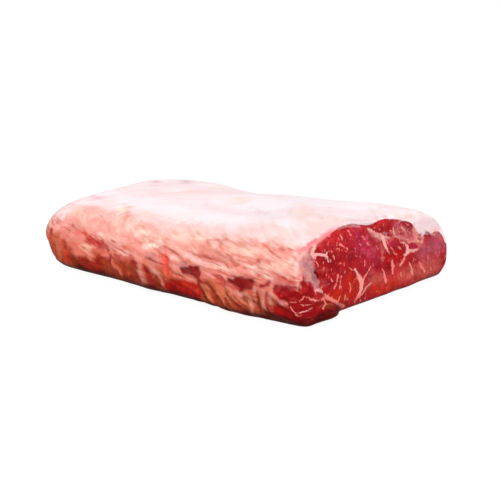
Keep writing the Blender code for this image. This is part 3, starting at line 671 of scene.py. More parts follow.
RIGHT_TINTS = (
    (HAZE_RED, 3.6, 5.0, 6.0, ((107, 34), (120, 33.5), (133, 35))),
    (DARK_MEAT, 2.2, 3.8, 6.2, ((106, 34.5), (113, 34), (120, 33))),
    (DARK_MEAT, 2.2, 6.2, 4.6, ((120, 33), (127, 34), (134, 35.5))),
    (BURGUNDY, 2.4, 1.0, 1.6, ((129, 36), (136, 33))),
    (DUSTY_PINK, 1.5, 1.3, 1.5, ((99, 35), (102, 29), (107, 25.5), (118, 23.5), (127, 26))),
    (PINK_FAT, 1.4, 0.8, 0.8, ((96, 37), (104, 38.5), (110, 37))),
    (DUSTY_PINK, 3.0, 1.2, 1.8, ((129, 24), (132, 20), (134, 8))),
    (DUSTY_PINK, 2.4, 1.4, 1.8, ((138, 41), (137, 34), (136, 22))),
    (BROWN_MEAT, 1.5, 0.9, 1.6, ((139.5, 28), (142, 20), (145, 10))),
    (DUSTY_PINK, 4.0, 3.0, 2.4, ((146, 31), (147, 25), (148, 16))),
    (DUSTY_PINK, 4.0, 2.6, 1.8, ((156, 29), (155, 24), (156, 16))),
    (BURGUNDY, 3.0, 1.2, 1.6, ((152, 21), (157, 15))),
    (DUSTY_PINK, 2.4, 1.6, 1.2, ((157, 33), (162, 27), (172, 25))),
    (BURGUNDY, 1.8, 1.4, 2.2, ((144, 34), (149, 36.5), (154, 39))),
    (BROWN_MEAT, 2.0, 0.9, 1.8, ((150, 23), (152, 15), (158, 8))),
    (BROWN_MEAT, 1.6, 0.8, 0.8, ((150.5, 30), (151, 26))),
    (DEEP_RED, 1.8, 5.0, 6.8, ((164, 35.5), (172, 35), (187, 36.5))),
    (DEEP_RED, 1.8, 4.4, 6.0, ((169, 30), (178, 31), (190, 31))),
    (DEEP_RED, 2.4, 5.0, 6.0, ((181, 25), (196, 26), (208, 26))),
    (DEEP_RED, 1.4, 3.2, 8.0, ((197, 42.5), (199, 38), (202, 32))),
    (DEEP_RED, 2.0, 6.0, 9.0, ((165, 14), (182, 14), (206, 16))),
    (DEEP_RED, 2.0, 9.0, 8.0, ((200, 20), (218, 14), (236, 8))),
    (VIVID_RED, 3.0, 2.0, 2.4, ((162, 15), (168, 15))),
    (MUSCLE_RED, 4.0, 0.6, 1.4, ((192, 37), (202, 38))),
    (EYE_DARK, 3.0, 1.6, 2.0, ((192, 43), (199, 44))),
    (MUSCLE_RED, 1.2, 0.5, 0.6, ((160, 32), (168, 36))),
    (MUSCLE_RED, 1.2, 0.5, 0.7, ((168, 30), (177, 36))),
    (MUSCLE_RED, 1.2, 0.5, 0.7, ((175, 32), (183, 38))),
    (MUSCLE_RED, 1.4, 0.8, 0.8, ((178, 26), (186, 31))),
    (MUSCLE_RED, 1.4, 0.6, 0.6, ((168, 40), (180, 42))),
    (MAUVE_SHADE, 2.2, 0.6, 1.2, ((164, 23), (170, 22.5), (176, 24.5))),
    (HAZE_RED, 5.0, 2.4, 3.0, ((162, 42), (174, 42.5), (186, 43.5))),
    (HOLLOW_RED, 6.0, 0.6, 1.0, ((166, 45), (176, 47), (184, 45))),
    (FRINGE_FAT, 2.4, 1.6, 0.3, ((187.5, 47), (189.5, 41), (189.5, 37.5))),
)
SIDE_STREAKS = (
    (STREAK_FAT, 0.9, 0.8, 0.6, ((180, 22), (184, 17.5), (189, 14.5))),
    (SEAM_FAT, 1.4, 0.6, 0.4, ((188, 15), (198, 17.5), (210, 19.5))),
    (STREAK_FAT, 1.6, 0.7, 0.3, ((187, 14), (191, 13), (195, 13))),
    (STREAK_FAT, 0.9, 0.6, 0.8, ((191, 27.5), (198, 31.5), (204, 29))),
    (STREAK_FAT, 0.9, 0.9, 0.6, ((204, 29), (210, 25.5), (219, 24))),
    (STREAK_FAT, 1.0, 0.4, 0.4, ((190, 24.5), (202, 23), (212, 22))),
    (STREAK_FAT, 1.2, 0.5, 0.6, ((176, 25), (183, 26), (188, 27))),
)
# Silverskin where the side muscle meets the eye; its lavender marks are painted shade on the
# silverskin, and the black-red mark at its right end is painted shade in a notch
SILVER_TINTS = (
    (SILVER, 3.0, 8.0, 8.5, ((198, 65), (203, 58), (205, 52))),
    (SILVER, 2.4, 5.0, 3.4, ((207, 50), (213, 42), (217, 37))),
    (LAVENDER_SHADE, 5.0, 2.0, 2.0, ((201, 59), (206, 56), (210, 52))),
    (LAVENDER_SHADE, 3.4, 1.6, 1.6, ((211, 47), (216, 41), (219, 38))),
    (PINK_FAT, 4.0, 1.4, 1.4, ((189, 66), (196, 68), (204, 69))),
    (GREY_PINK, 3.0, 1.4, 1.4, ((190, 57), (198, 52), (206, 46))),
    (PINK_MIST, 5.0, 1.4, 1.2, ((184, 62), (188, 57), (186, 51))),
    (LAVENDER_SHADE, 3.0, 1.2, 1.2, ((184, 51), (187, 46))),
    (PINK_FRINGE, 3.0, 2.0, 3.0, ((193, 71.5), (202, 73.5), (213, 76))),
    (GREY_PINK, 2.4, 0.6, 1.0, ((196, 67), (202, 62), (206, 59))),
    (GREY_PINK, 2.0, 0.6, 0.8, ((194, 58), (201, 55), (208, 53))),
    (BLACK_RED, 1.6, 1.5, 1.2, ((214.5, 49.5), (217, 45.5), (218.5, 42))),
)
# Grooves and ridges of the fat over the thick side; the marks in the groove colour are painted
# shade along the creases of its folds
SIDE_GROOVES = (
    (PINK_SHADE, 16, 6, 8, ((56, 49), (100, 51), (150, 56), (172, 61))),
    (ROSE_FAT, 6, 2.4, 2.4, ((116, 44), (140, 46), (172, 46))),
    (ROSE_FAT, 4, 1.6, 1.6, ((150, 68), (164, 66), (180, 66))),
    (PINK_SHADE, 7, 1, 2, ((-150, 52), (-120, 50), (-96, 48))),
    (GROOVE, 1.6, 0.7, 1.0, ((-140, 48), (-122, 45), (-104, 44))),
    (GROOVE, 2.4, 0.6, 0.6, ((-90, 50), (-82, 49))),
    (GROOVE, 1.2, 0.8, 1.2, ((9, 51.5), (20, 50.5), (30, 48), (37, 46))),
    (GROOVE, 1.2, 0.5, 0.5, ((-8, 39), (0, 37), (4, 36))),
    (GROOVE, 1.0, 0.6, 0.6, ((50, 51.5), (56, 50.5))),
    (GASH, 1.1, 0.8, 1.0, ((58, 49.5), (70, 48), (84, 49), (98, 48.5), (105, 45))),
    (GROOVE, 1.8, 1.6, 1.6, ((66, 49.5), (84, 50.5), (98, 49))),
    (GROOVE, 1.0, 0.7, 0.7, ((103, 44), (106, 41), (110, 38.5))),
    (GROOVE, 1.4, 0.7, 0.7, ((76, 62), (86, 63.5), (104, 67))),
    (CORAL, 4.5, 0.5, 0.8, ((92, 60.5), (98, 60))),
    (GROOVE, 1.1, 0.5, 0.5, ((88, 55.5), (94, 56.5))),
    (GROOVE, 1.2, 0.7, 0.8, ((103, 55.5), (112, 54), (122, 52.5))),
    (GASH, 1.5, 1.0, 2.0, ((122, 52), (133, 52), (143, 56.5))),
    (ROSE_FAT, 1.8, 1.2, 1.0, ((112, 54.5), (126, 54.5), (138, 56))),
    (GROOVE, 1.4, 0.6, 0.6, ((108, 58), (116, 57.5), (126, 56))),
    (GASH, 1.8, 0.8, 1.0, ((108, 46), (114, 47.5), (118, 48.5))),
    (GROOVE, 1.4, 0.5, 0.7, ((120, 47), (130, 48), (140, 46))),
    (GASH, 1.6, 0.8, 1.0, ((150, 69), (156, 67.5), (160, 65))),
    (GASH, 1.3, 1.0, 0.6, ((158, 64.5), (166, 63), (178, 62))),
    (SALMON, 2.4, 1.2, 0.8, ((150, 68.5), (160, 68.5), (168, 66.5))),
    (GROOVE, 1.1, 0.5, 0.5, ((166, 68.5), (176, 69.5))),
    (GROOVE, 1.2, 0.5, 0.5, ((160, 61.5), (168, 61.5))),
    (GROOVE, 1.2, 0.6, 0.6, ((180, 71), (190, 70.5))),
    (GROOVE, 2.0, 0.6, 0.6, ((78, 40), (92, 40))),
    (GROOVE, 2.0, 0.6, 0.8, ((52, 43), (58, 41), (66, 40.5))),
)
SIDE_RIDGES = (
    (PEACH, 3.0, 1.4, 1.2, ((-10, 46), (4, 48), (16, 53))),
    (PINK_MIST, 2.6, 1.2, 1.6, ((50, 48.5), (58, 46), (66, 44))),
    (PINK_MIST, 2.6, 1.4, 1.4, ((66, 44), (82, 45), (98, 45.5))),
    (CREAM, 2.4, 1.0, 1.0, ((88, 42), (100, 43), (112, 42.5))),
    (CREAM, 5.0, 1.0, 1.0, ((108, 61), (126, 62.5), (140, 63))),
    (CREAM, 3.0, 1.0, 1.4, ((82, 59), (90, 60))),
    (CREAM, 3.0, 1.4, 1.4, ((97, 54), (104, 52))),
    (CREAM, 4.0, 1.8, 2.0, ((160, 57), (174, 58), (184, 61))),
    (PINK_FAT, 4.0, 2.4, 2.8, ((146, 52), (164, 52), (176, 53))),
    (CREAM, 1.2, 0.6, 0.6, ((112, 52.6), (124, 50.6), (134, 49.6), (144, 53))),
    (CREAM, 1.2, 0.6, 0.6, ((152, 66), (160, 62.4), (174, 60.4))),
    (CREAM, 2.0, 1.0, 1.0, ((146, 44), (156, 45), (166, 44.5))),
)
TOP_TINTS = (
    (MAUVE_FAT, 9, 1.0, 1.6, ((-34, -4), (-24, -16), (-18, -24))),
    (MAUVE_FAT, 10, 1.0, 1.8, ((30, -8), (52, -18), (74, -32))),
    (BLUSH, 16, 1.0, 2.0, ((-8, 20), (0, 16), (6, 12))),
    (GREY_PINK, 12, 2.0, 3.0, ((-126, 58), (-112, 42))),
    (GREY_PINK, 9, 1.0, 2.0, ((-146, 28), (-136, 20))),
    (MAUVE_SHADE, 2.0, 0.4, 0.4, ((94, -22), (100, -29))),
    (MAUVE_SHADE, 2.0, 0.3, 0.4, ((128, -60), (134, -66))),
    (GROOVE, 2.0, 0.4, 0.5, ((150, -42), (160, -51))),
    (MAUVE_SHADE, 2.4, 0.3, 0.4, ((8, -84), (14, -92))),
    (GROOVE, 2.4, 0.5, 0.5, ((20, -99), (30, -101))),
    (PINK_MIST, 30, 9.0, 9.0, ((-130, 12), (-92, -20), (-60, 20))),
    (BLUSH, 20, 8.0, 8.0, ((-130, -62), (-100, -84), (-50, -92))),
    (BLUSH, 24, 14.0, 22.0, ((100, -10), (135, -45), (176, -62))),
    (MAUVE_FAT, 10, 1.0, 2.0, ((156, 44), (164, 20), (180, -4), (186, -22))),
    (PALE_GREY, 9, 3.0, 8.0, ((150, 92), (172, 80), (186, 72))),
)
# Where the top rolls over to the thick side
SHOULDER_TINTS = (
    (PINK_MIST, 18, 5.0, 14.0, ((-30, -94), (60, -93), (120, -86), (170, -74))),
    (HOT_PINK, 7, 5.0, 6.0, ((-152, -62), (-140, -64))),
    (HOT_PINK, 5, 2.0, 3.0, ((-166, -42), (-165, -54))),
    (PINK_FAT, 9, 1.0, 2.0, ((-122, -92), (-104, -94))),
    (ROSE_FAT, 6, 0.8, 1.6, ((-98, -107), (-80, -110))),
    (YELLOW_FAT, 5, 1.6, 2.0, ((-90, -76), (-74, -90))),
    (ROSE_FAT, 6, 1.2, 2.0, ((-74, -84), (-58, -97))),
    (PINK_FAT, 7, 1.0, 1.4, ((-92, -70), (-78, -76))),
    (BLUSH, 9, 2.0, 3.0, ((-50, -82), (-36, -84))),
)


# How far inside a mark or a fleck a place is, in mm, where there is none
NO_MARK = -99.0
NO_FLECK = -9.0
# Cells of flecks are counted from here, so that their numbers stay above zero
CELLS_ASIDE = 4000
# Tones below this sum of screen values cover what is under them with few holes
DARK_TONE = 300
DARK_HOLES = 0.15


def mark_reach(u, v, first, last, points):
    """How far inside a mark each place is, in mm: below zero outside it."""
    lengths = [math.dist(a, b) for a, b in zip(points[:-1], points[1:])]
    total, done = sum(lengths), 0.0
    best = np.full(u.shape, NO_MARK)
    for (u0, v0), (u1, v1), length in zip(points[:-1], points[1:], lengths):
        du, dv = u1 - u0, v1 - v0
        part = np.clip(((u - u0) * du + (v - v0) * dv) / length**2, 0.0, 1.0)
        half = first + (last - first) * (done + part * length) / total
        best = np.maximum(best, half - np.hypot(u - u0 - part * du, v - v0 - part * dv))
        done += length
    return best


def turn_to(colours, tone, amount):
    """Changes each colour towards the tone by its amount."""
    colours += (tone - colours) * amount[:, None]


class Look:
    """The look of each place: how deep in fat it is, in mm, the colours of its lean and fat, how
    strongly its surface is folded and marbled, and how far it is raised, in metres."""

    def __init__(self, count, patchy):
        self.patchy = patchy
        self.reach = np.full(count, 4.0)
        self.lean = np.tile(light(EYE_RED), (count, 1))
        self.fat = np.tile(light(WHITE_FAT), (count, 1))
        self.folded = np.zeros(count)
        self.marbled = np.zeros(count)
        self.side_reach = np.zeros(count)
        self.raised = np.zeros(count)

    def tint(self, tone, amount, lean_only=False):
        for colours in (self.lean,) if lean_only else (self.lean, self.fat):
            turn_to(colours, light(tone), np.clip(amount, 0.0, 1.0))

    def stain(self, marks, u, v, ragged, here, lean_only=False):
        """Soft patches of colour, where here is above zero."""
        close = here > 0.01
        for tone, soft, first, last, points in marks:
            reach = mark_reach(u[close], v[close], first, last, points) + ragged[close] * soft
            amount = np.zeros(len(u))
            amount[close] = between(0.0, 1.0, 0.5 + reach / (1.6 * soft)) * here[close]
            holes = (1.0 - self.patchy) * (1.0 if sum(tone) > DARK_TONE else DARK_HOLES)
            self.tint(tone, amount * (1.0 - holes), lean_only)

    def streak(self, marks, u, v, here):
        """Fat that runs through the lean, with crisp edges and an uneven width."""
        close = here > 0.5
        thin = 0.75 * drift(u + v, v, 2.8, 2.4, 87) - 0.1
        for tone, soft, first, last, points in marks:
            reach = mark_reach(u[close], v[close], first, last, points) + thin[close]
            amount = between(0.0, 1.0, (reach + 1.6) / 1.6)[:, None]
            self.fat[close] += (light(tone) - self.fat[close]) * amount
            self.reach[close] = np.maximum(self.reach[close], reach / soft)


# Colour of the sides by height in mm; the near-black at the foot is painted shade along the floor
UP_SIDE = (
    (0, BLACK_RED), (7, BROWN_MEAT), (15, RUST), (24, (192, 84, 60)), (32, (226, 116, 98)),
    (40, (236, 146, 132)), (48, (244, 162, 150)), (60, (250, 186, 172)), (70, (252, 208, 200)),
    (80, (253, 224, 224)),
)


def up_side(height):
    """A colour that changes with height."""
    heights = [stop[0] for stop in UP_SIDE]
    tones = np.array([light(stop[1]) for stop in UP_SIDE])
    return np.stack([np.interp(height, heights, tones[:, i]) for i in range(3)], axis=1)


def flecks(u, v, cell, biggest, drawn_out, lean_over, chance, seed):
    """Small scattered spots and streaks: how far inside one each place is, in mm."""
    flat = np.zeros(len(u), dtype=np.int64)
    best = np.full(len(u), NO_FLECK)
    column, row = np.floor(u / cell).astype(np.int64), np.floor(v / cell).astype(np.int64)
    for i in (-1, 0, 1):
        for j in (-1, 0, 1):
            a, b = column + i + CELLS_ASIDE, row + j + CELLS_ASIDE
            there_u = (a - CELLS_ASIDE + random_at(a, b, flat, seed)) * cell
            there_v = (b - CELLS_ASIDE + random_at(a, b, flat, seed + 1)) * cell
            size = biggest * random_at(a, b, flat, seed + 2) ** 2
            turn = lean_over + 0.9 * (random_at(a, b, flat, seed + 3) - 0.5)
            du, dv = u - there_u, v - there_v
            side = du * np.cos(turn) + dv * np.sin(turn)
            length = (dv * np.cos(turn) - du * np.sin(turn)) / drawn_out
            present = random_at(a, b, flat, seed + 4) < chance
            best = np.maximum(best, np.where(present, size - np.hypot(side, length), NO_FLECK))
    return best


def strips_of_meat(s, w):
    """The slanting strips low on the thick side: above zero on a strip, below zero in a gap."""
    along_left = w + 0.62 * s + 3.4 * drift(s, w, 13.0, 8.0, 77)
    along_right = 0.30 * w + s + 3.4 * drift(s, w, 9.0, 12.0, 79)
    left = np.sin(along_left / 1.05) + 0.6 * np.sin(along_left / 0.47 + 1.0)
    right = np.sin(along_right / 1.25) + 0.6 * np.sin(along_right / 0.52)
    return left + (right - left) * rising(s, 124.0, 10.0)


# ---- Painting -------------------------------------------------------------------------------

# Distance along the loin over which the way round it turns from its side to its end, in mm
TURN = 50.0
# Edges of the parts of the loin in mm: where each starts, and how far it takes to fade in or out
CUT_ALONG = (179.0, 5.0)
CUT_ROUND = (192.0, 6.0)
NEAR_SIDE_ACROSS = (-110.0, 14.0)
NEAR_EDGE_ACROSS = (-112.0, 8.0)
NEAR_TOP_ACROSS = (-70.0, 20.0)
END_ALONG = (-150.0, 20.0)
END_ACROSS = (10.0, 40.0)
LEFT_ALONG = (-70.0, 50.0)
MUSCLE_ALONG = (176.0, 6.0)
MUSCLE_ROUND = (246.0, 10.0)
FOOT_UP = (12.0, 10.0)
UNDER_IN = (10.0, 12.0)
UNDER_UP = (0.0, 2.0)
STRIPS_UP = (20.0, 8.0)
WRINKLES_FROM = (38.0, 5.0)
WRINKLES_TO = (66.0, 10.0)
# How far the colour of the sides rolls over the top edge in mm, and how much further by the left
ROLL_OVER = 6.0
ROLL_FURTHER = 8.0
ROLL_FADE = 18.0
# Stretches round the loin in mm: where they start and fade in, and where they end and fade out
STRIPS = (66.0, 6.0, 160.0, 6.0)
WRINKLES = (46.0, 20.0, 184.0, 8.0)
# Where the painted shade along the bottom edge reaches higher, towards the cut face
BOTTOM_SHADE_CORNER = (140.0, 15.0, 256.0, 20.0)
# A place whose lean colour has more red for its green than this counts as lean on the sides
LEAN_REDNESS = 6.0
REDNESS_FADE = 1.5


class Ground:
    """Where each place lies in mm: u along the loin, v across it, w up and s round its side. Also
    how far it belongs to each part of the loin, and the slow waves that make marks uneven."""

    def __init__(self, x, y, z):
        u, v, w = x * 1000.0, y * 1000.0, z * 1000.0
        s = u + (v - Y_NEAR * 1000.0) * np.tanh(u / TURN)
        self.u, self.v, self.w, self.s = u, v, w, s
        self.wave_u = 1.1 * drift(s, w, 9.0, 7.0, 41) + 0.8 * drift(s, w, 3.4, 2.8, 43)
        self.wave_v = 0.9 * drift(s, w, 11.0, 6.0, 45) + 0.8 * drift(s, w, 3.6, 2.6, 47)
        self.ragged = 0.6 * drift(s + w, w, 6.0, 3.4, 49) + 0.25 * drift(s + w, w, 3.4, 2.6, 55)
        self.patchy = np.clip(0.96 + 0.5 * drift(s + 0.6 * w, w, 5.5, 3.2, 57), 0.72, 1.0)
        self.top_u, self.top_v = u + 2 * self.wave_u, v + 2 * self.wave_v
        self.face_u, self.face_v = v + 0.9 * self.wave_u, w + 0.9 * self.wave_v
        self.fold_u, self.fold_v = s + 0.6 * self.wave_u, w + 0.6 * self.wave_v
        self.find_parts(-side_walls(x, y, z) * 1000.0)
        self.find_folds()
        depth = (plain_body(x, y, z) + fat_thickness(x, y)) * 1000.0
        self.rim = np.minimum(depth, w - fat_edge_height(x, y) * 1000.0) + 0.5 * self.wave_v

    def find_parts(self, from_side):
        """How far each place is on the cut face, the sides, the top and the underside."""
        u, v, w, s = self.u, self.v, self.w, self.s
        self.on_face = rising(u, *CUT_ALONG)
        self.over_face = self.on_face * rising(s, *CUT_ROUND)
        self.near = falling(v, *NEAR_SIDE_ACROSS)
        rounded_end = falling(u, *END_ALONG) * falling(v, *END_ACROSS)
        further = ROLL_OVER + ROLL_FURTHER * falling(u, *LEFT_ALONG)
        rolls_over = ROLL_OVER + falling(v, *NEAR_TOP_ACROSS) * further
        uneven = 8.0 * drift(u, v, 30.0, 14.0, 51)
        side = between(1.0, 0.0, (from_side - rolls_over + uneven) / ROLL_FADE)
        side = np.maximum(side, falling(w, *FOOT_UP))
        self.side = side * (1.0 - self.on_face * rising(v, *NEAR_EDGE_ACROSS))
        under = rising(from_side, *UNDER_IN) * falling(w, *UNDER_UP)
        self.under = under * (1.0 - self.on_face)
        seen_side = np.maximum(self.near, rounded_end) * (1.0 - self.on_face)
        side_muscle = np.maximum(seen_side, rising(u, *MUSCLE_ALONG))
        self.corner = falling(s, *MUSCLE_ROUND) * side_muscle
        self.top = (1.0 - self.side) * (1.0 - self.on_face)

    def find_folds(self):
        """Folds, strips and wrinkles of the sides: above zero on a crest, below it in a groove."""
        s, w = self.s, self.w
        slanted = w + 0.10 * s + 0.20 * np.minimum(s + 40.0, 0.0)
        self.folds = drift(s + 1.3 * w, slanted, 30.0, 5.0, 71)
        self.fine_folds = drift(s + 1.0 * w, slanted, 13.0, 2.1, 73)
        self.blobs = drift(s, w, 11.0, 6.0, 81)
        self.strips = strips_of_meat(s, w)
        self.in_strips = stretch(s, *STRIPS) * falling(w, *STRIPS_UP) * self.near
        self.wrinkles = drift(s + 1.4 * w, slanted, 9.0, 2.2, 103)
        wrinkled = stretch(s, *WRINKLES) * self.near
        self.wrinkled = wrinkled * rising(w, *WRINKLES_FROM) * falling(w, *WRINKLES_TO)


def paint_top(look, at):
    look.tint(PINK_WHITE, 0.8 * between(0.0, 1.0, 0.5 + drift(at.u, at.v, 46.0, 30.0, 61)))
    look.tint(CREAM, 0.35 * between(0.0, 1.0, 1.6 * drift(at.u, at.v, 34.0, 26.0, 63)))
    look.stain(TOP_TINTS, at.top_u, at.top_v, at.ragged, 0.65 * at.top)


def paint_sides(look, at):
    """Fat above and lean below, darkened at the foot as painted shade, in long drawn-out folds with
    painted shade in their grooves and painted highlight on their crests, with strips of meat low on
    the right.
    """
    s, w, side, blobs = at.s, at.w, at.side, at.blobs
    height = w + 5.0 * drift(s, w, 22.0, 11.0, 75) + 3.0 * blobs
    # The underside counts as higher up, so that it keeps the meat's colour and not the painted
    # shade of the foot
    height = height + at.under * (18.0 + 12.0 * drift(at.u, at.v, 40.0, 16.0, 85))
    colours = up_side(height)
    turn_to(look.lean, colours, side)
    turn_to(look.fat, colours, side)
    low = falling(w, 22.0, 8.0) * side
    look.tint(VIVID_RED, 0.7 * low * between(0.0, 1.0, 2.0 * drift(s, w, 26.0, 12.0, 83)))
    look.tint(BURGUNDY, 0.6 * low * between(0.0, 1.0, 2.2 * blobs - 0.3))
    look.tint(TAN_FAT, 0.6 * low * between(0.0, 1.0, -2.0 * blobs - 0.2))

    strips, in_strips = at.strips, at.in_strips
    uneven = in_strips * np.clip(0.7 + 0.9 * blobs, 0.1, 1.0)
    look.tint(STRIP_TAN, 0.9 * in_strips)
    look.tint(FRINGE_FAT, 0.4 * uneven * between(0.0, 1.0, strips - 0.5))
    look.tint(RUST, 0.5 * in_strips * rising(s, 96.0, 12.0))
    look.tint(BROWN_MEAT, 0.95 * uneven * between(0.0, 1.0, -1.2 * strips + 0.2))
    look.tint(BROWN_MEAT, 0.6 * in_strips * falling(w, 6.0, 14.0))

    # Painted shade in the grooves of the folds and painted highlight on their crests, where the
    # same folds sink and raise the surface
    high = rising(w, 30.0, 10.0)
    groove = between(0.0, 1.0, (-0.12 - at.folds) / 0.5) * side
    look.tint(GROOVE, 0.30 * groove * high)
    crest = rising(at.folds, 0.05, 0.5) * side
    look.tint(CREAM, 0.40 * crest * high)
    look.tint(GROOVE, 0.30 * between(0.0, 1.0, (-0.1 - at.fine_folds) / 0.4) * side * high)
    over_top = (1.0 - at.on_face) * rising(w, 50.0, 8.0)
    look.stain(SHOULDER_TINTS, at.top_u, at.top_v, at.ragged, over_top)


def paint_cut(look, at):
    """The cut face: lean inside the rim of fat."""
    v, rim, over_face = at.v, at.rim, at.over_face
    look.reach += (np.clip(rim, -4.0, 4.0) - look.reach) * over_face
    turn_to(look.lean, light(EYE_RED), over_face)
    # The fat of the rim is grey-mauve as painted shade on the near part of the cut, and pink-white
    # further across
    fat_here = np.tile(light(MAUVE_FAT), (len(v), 1))
    turn_to(fat_here, light(PINK_WHITE), rising(v, -24.0, 20.0))
    fringe = between(0.0, 0.9, (-48.0 - v) / 26.0) * between(1.0, 0.15, (rim - 1.0) / 3.0)
    turn_to(fat_here, light(PINK_FRINGE), fringe)
    turn_to(fat_here, light(STREAK_FAT), between(0.0, 1.0, (0.5 - rim) / 2.0))
    turn_to(look.fat, fat_here, over_face)
    in_lean = over_face * (rim < 1.0)
    look.stain(FACE_TINTS, at.face_u, at.face_v, at.ragged, in_lean, lean_only=True)
    look.stain(RIM_TINTS, at.face_u, at.face_v, at.ragged, over_face)
    look.streak(RIM_STREAKS, at.face_u, at.face_v, over_face)


def paint_side_marks(look, at):
    """The folds and hollows of the thick side, with painted shade in their grooves, and the
    silverskin at its right end.
    """
    wrinkled, wrinkles = at.wrinkled, at.wrinkles
    look.stain(SIDE_GROOVES, at.fold_u, at.fold_v, at.ragged, at.corner)
    look.stain(SIDE_RIDGES, at.fold_u, at.fold_v, at.ragged, 0.8 * at.corner)
    # Dusty-pink wrinkles, with painted shade in their grooves and painted highlight on their
    # crests, where raise_surface sinks and raises them
    look.tint(DUSTY_PINK, wrinkled * (0.22 + 0.60 * between(0.0, 1.0, 1.6 * wrinkles)))
    look.tint(CREAM, 0.40 * wrinkled * between(0.0, 1.0, -1.6 * wrinkles - 0.2))
    for marks in (LEFT_TINTS, MIDDLE_TINTS, RIGHT_TINTS, SILVER_TINTS):
        look.stain(marks, at.s + at.wave_u, at.w + at.wave_v, at.ragged, at.corner)
    redness = look.lean[:, 0] / np.maximum(look.lean[:, 1], 1e-4)
    look.side_reach = np.clip((LEAN_REDNESS - redness) / REDNESS_FADE, -3.0, 4.0)
    look.reach += (look.side_reach - look.reach) * at.side * (1.0 - at.over_face)
    look.streak(SIDE_STREAKS, at.fold_u, at.fold_v, at.corner)


def paint_marbling(look, at):
    """Seams, streaks and small flecks of fat in the lean of the cut face."""
    face_u, face_v, over_face = at.face_u, at.face_v, at.over_face
    look.streak(SEAM_STREAKS, face_u, face_v, over_face)
    look.stain(SEAM_TINTS, face_u, face_v, at.ragged, over_face)
    look.streak(FACE_STREAKS, face_u, face_v, over_face)
    small = flecks(face_u, face_v, 3.4, 0.85, 1.8, 0.2, 0.27, 101)
    small = small - 0.5 * rising(at.v, -44.0, 12.0)
    streaky = flecks(face_u, face_v, 6.0, 1.0, 3.0, -0.15, 0.40, 111)
    lower = falling(at.w, 30.0, 16.0)
    fleck = np.maximum(small - 0.1 * lower, streaky - 0.45 * (1.0 - lower))
    look.reach = np.where(over_face > 0.5, np.maximum(look.reach, fleck / 1.1), look.reach)


def paint_tone_and_bottom_shade(look, at):
    """Broad changes of tone, and painted shade: a near-black band along the bottom edge, where the
    loin meets the floor.
    """
    s, w = at.s, at.w
    look.lean *= (1.0 + 0.12 * drift(s, w, 12.0, 9.0, 91))[:, None]
    edge_from = 3.4 + 2.6 * stretch(s, *BOTTOM_SHADE_CORNER) - 3.0 * drift(s, w, 16.0, 8.0, 93)
    # Painted shade along the bottom edge, weaker across most of the cut face and left off the
    # underside
    bottom_shade = falling(w, edge_from, 8.5)
    bottom_shade = bottom_shade * (1.0 - 0.6 * at.over_face * rising(at.v, -64.0, 16.0))
    look.tint(BLACK_RED, 0.85 * bottom_shade * (1.0 - at.under))


def raise_surface(look, at):
    """How strongly each place is folded and marbled, and how far it stands out."""
    s, w, side, over_face = at.s, at.w, at.side, at.over_face
    look.folded = side * (0.40 + 0.60 * between(0.0, 1.0, (60.0 - w) / 20.0)) * (1.0 - over_face)
    look.folded *= np.clip(0.20 + 3.6 * look.lean[:, 1], 0.20, 1.0)
    by_seam = 0.45 * over_face * between(0.0, 1.0, (236.0 - s) / 6.0)
    look.folded = np.maximum(look.folded, by_seam)
    look.marbled = over_face * between(0.0, 1.0, -look.reach)
    fat_stands = 0.28 * between(0.0, 1.0, (look.reach + 0.6) / 1.6) * over_face
    side_stands = 0.8 * (between(0.0, 1.0, (look.side_reach + 2.0) / 4.0) - 0.6) * side
    fold_relief = (0.8 * at.folds + 0.4 * at.fine_folds) * side + 0.25 * at.strips * at.in_strips
    fold_relief = fold_relief - 0.30 * at.wrinkles * at.wrinkled
    grain = 0.10 * unevenness(at.u, at.v, w, 2.6, 95) * at.top
    top_swell = 0.35 * drift(at.u, at.v, 17.0, 12.0, 97) * at.top
    low_swell = 1.2 * drift(s, w, 30.0, 60.0, 99) * falling(w, 6.0, 18.0)
    relief = fat_stands + side_stands + fold_relief + grain + top_swell + low_swell
    look.raised = relief / 1000.0


def painted(x, y, z):
    """The look at each place on the loin."""
    at = Ground(x, y, z)
    look = Look(len(at.u), at.patchy)
    paint_top(look, at)
    paint_sides(look, at)
    paint_cut(look, at)
    paint_side_marks(look, at)
    paint_marbling(look, at)
    paint_tone_and_bottom_shade(look, at)
    raise_surface(look, at)
    return look


# ---- Making the pieces ----------------------------------------------------------------------


def carried(points, body):
    """Each box point brought in along a straight line to the surface of the body."""
    low = np.array((X_END + END_CORE, -SIDE_CORE, CORE_LOW))
    high = np.array((np.inf, SIDE_CORE, CORE_HIGH))
    core = np.clip(points, low, high)
    inside, outside = np.zeros(len(points)), np.ones(len(points))
    for _ in range(HALVINGS):
        middle = (inside + outside) / 2
        place = core + (points - core) * middle[:, None]
        within = body(*place.T) < 0.0
        inside = np.where(within, middle, inside)
        outside = np.where(within, outside, middle)
    at_inside = body(*(core + (points - core) * inside[:, None]).T)
    at_outside = body(*(core + (points - core) * outside[:, None]).T)
    share = np.clip(at_inside / np.minimum(at_inside - at_outside, -1e-12), 0.0, 1.0)
    middle = inside + (outside - inside) * share
    return core + (points - core) * middle[:, None]


def away_from(places, body):
    """The direction straight out of the body at each place."""
    here = body(*places.T)
    slopes = []
    for axis in range(3):
        step = np.zeros(3)
        step[axis] = SLOPE_STEP
        slopes.append(body(*(places + step).T) - here)
    slopes = np.stack(slopes, axis=1)
    return slopes / np.maximum(np.linalg.norm(slopes, axis=1, keepdims=True), 1e-12)


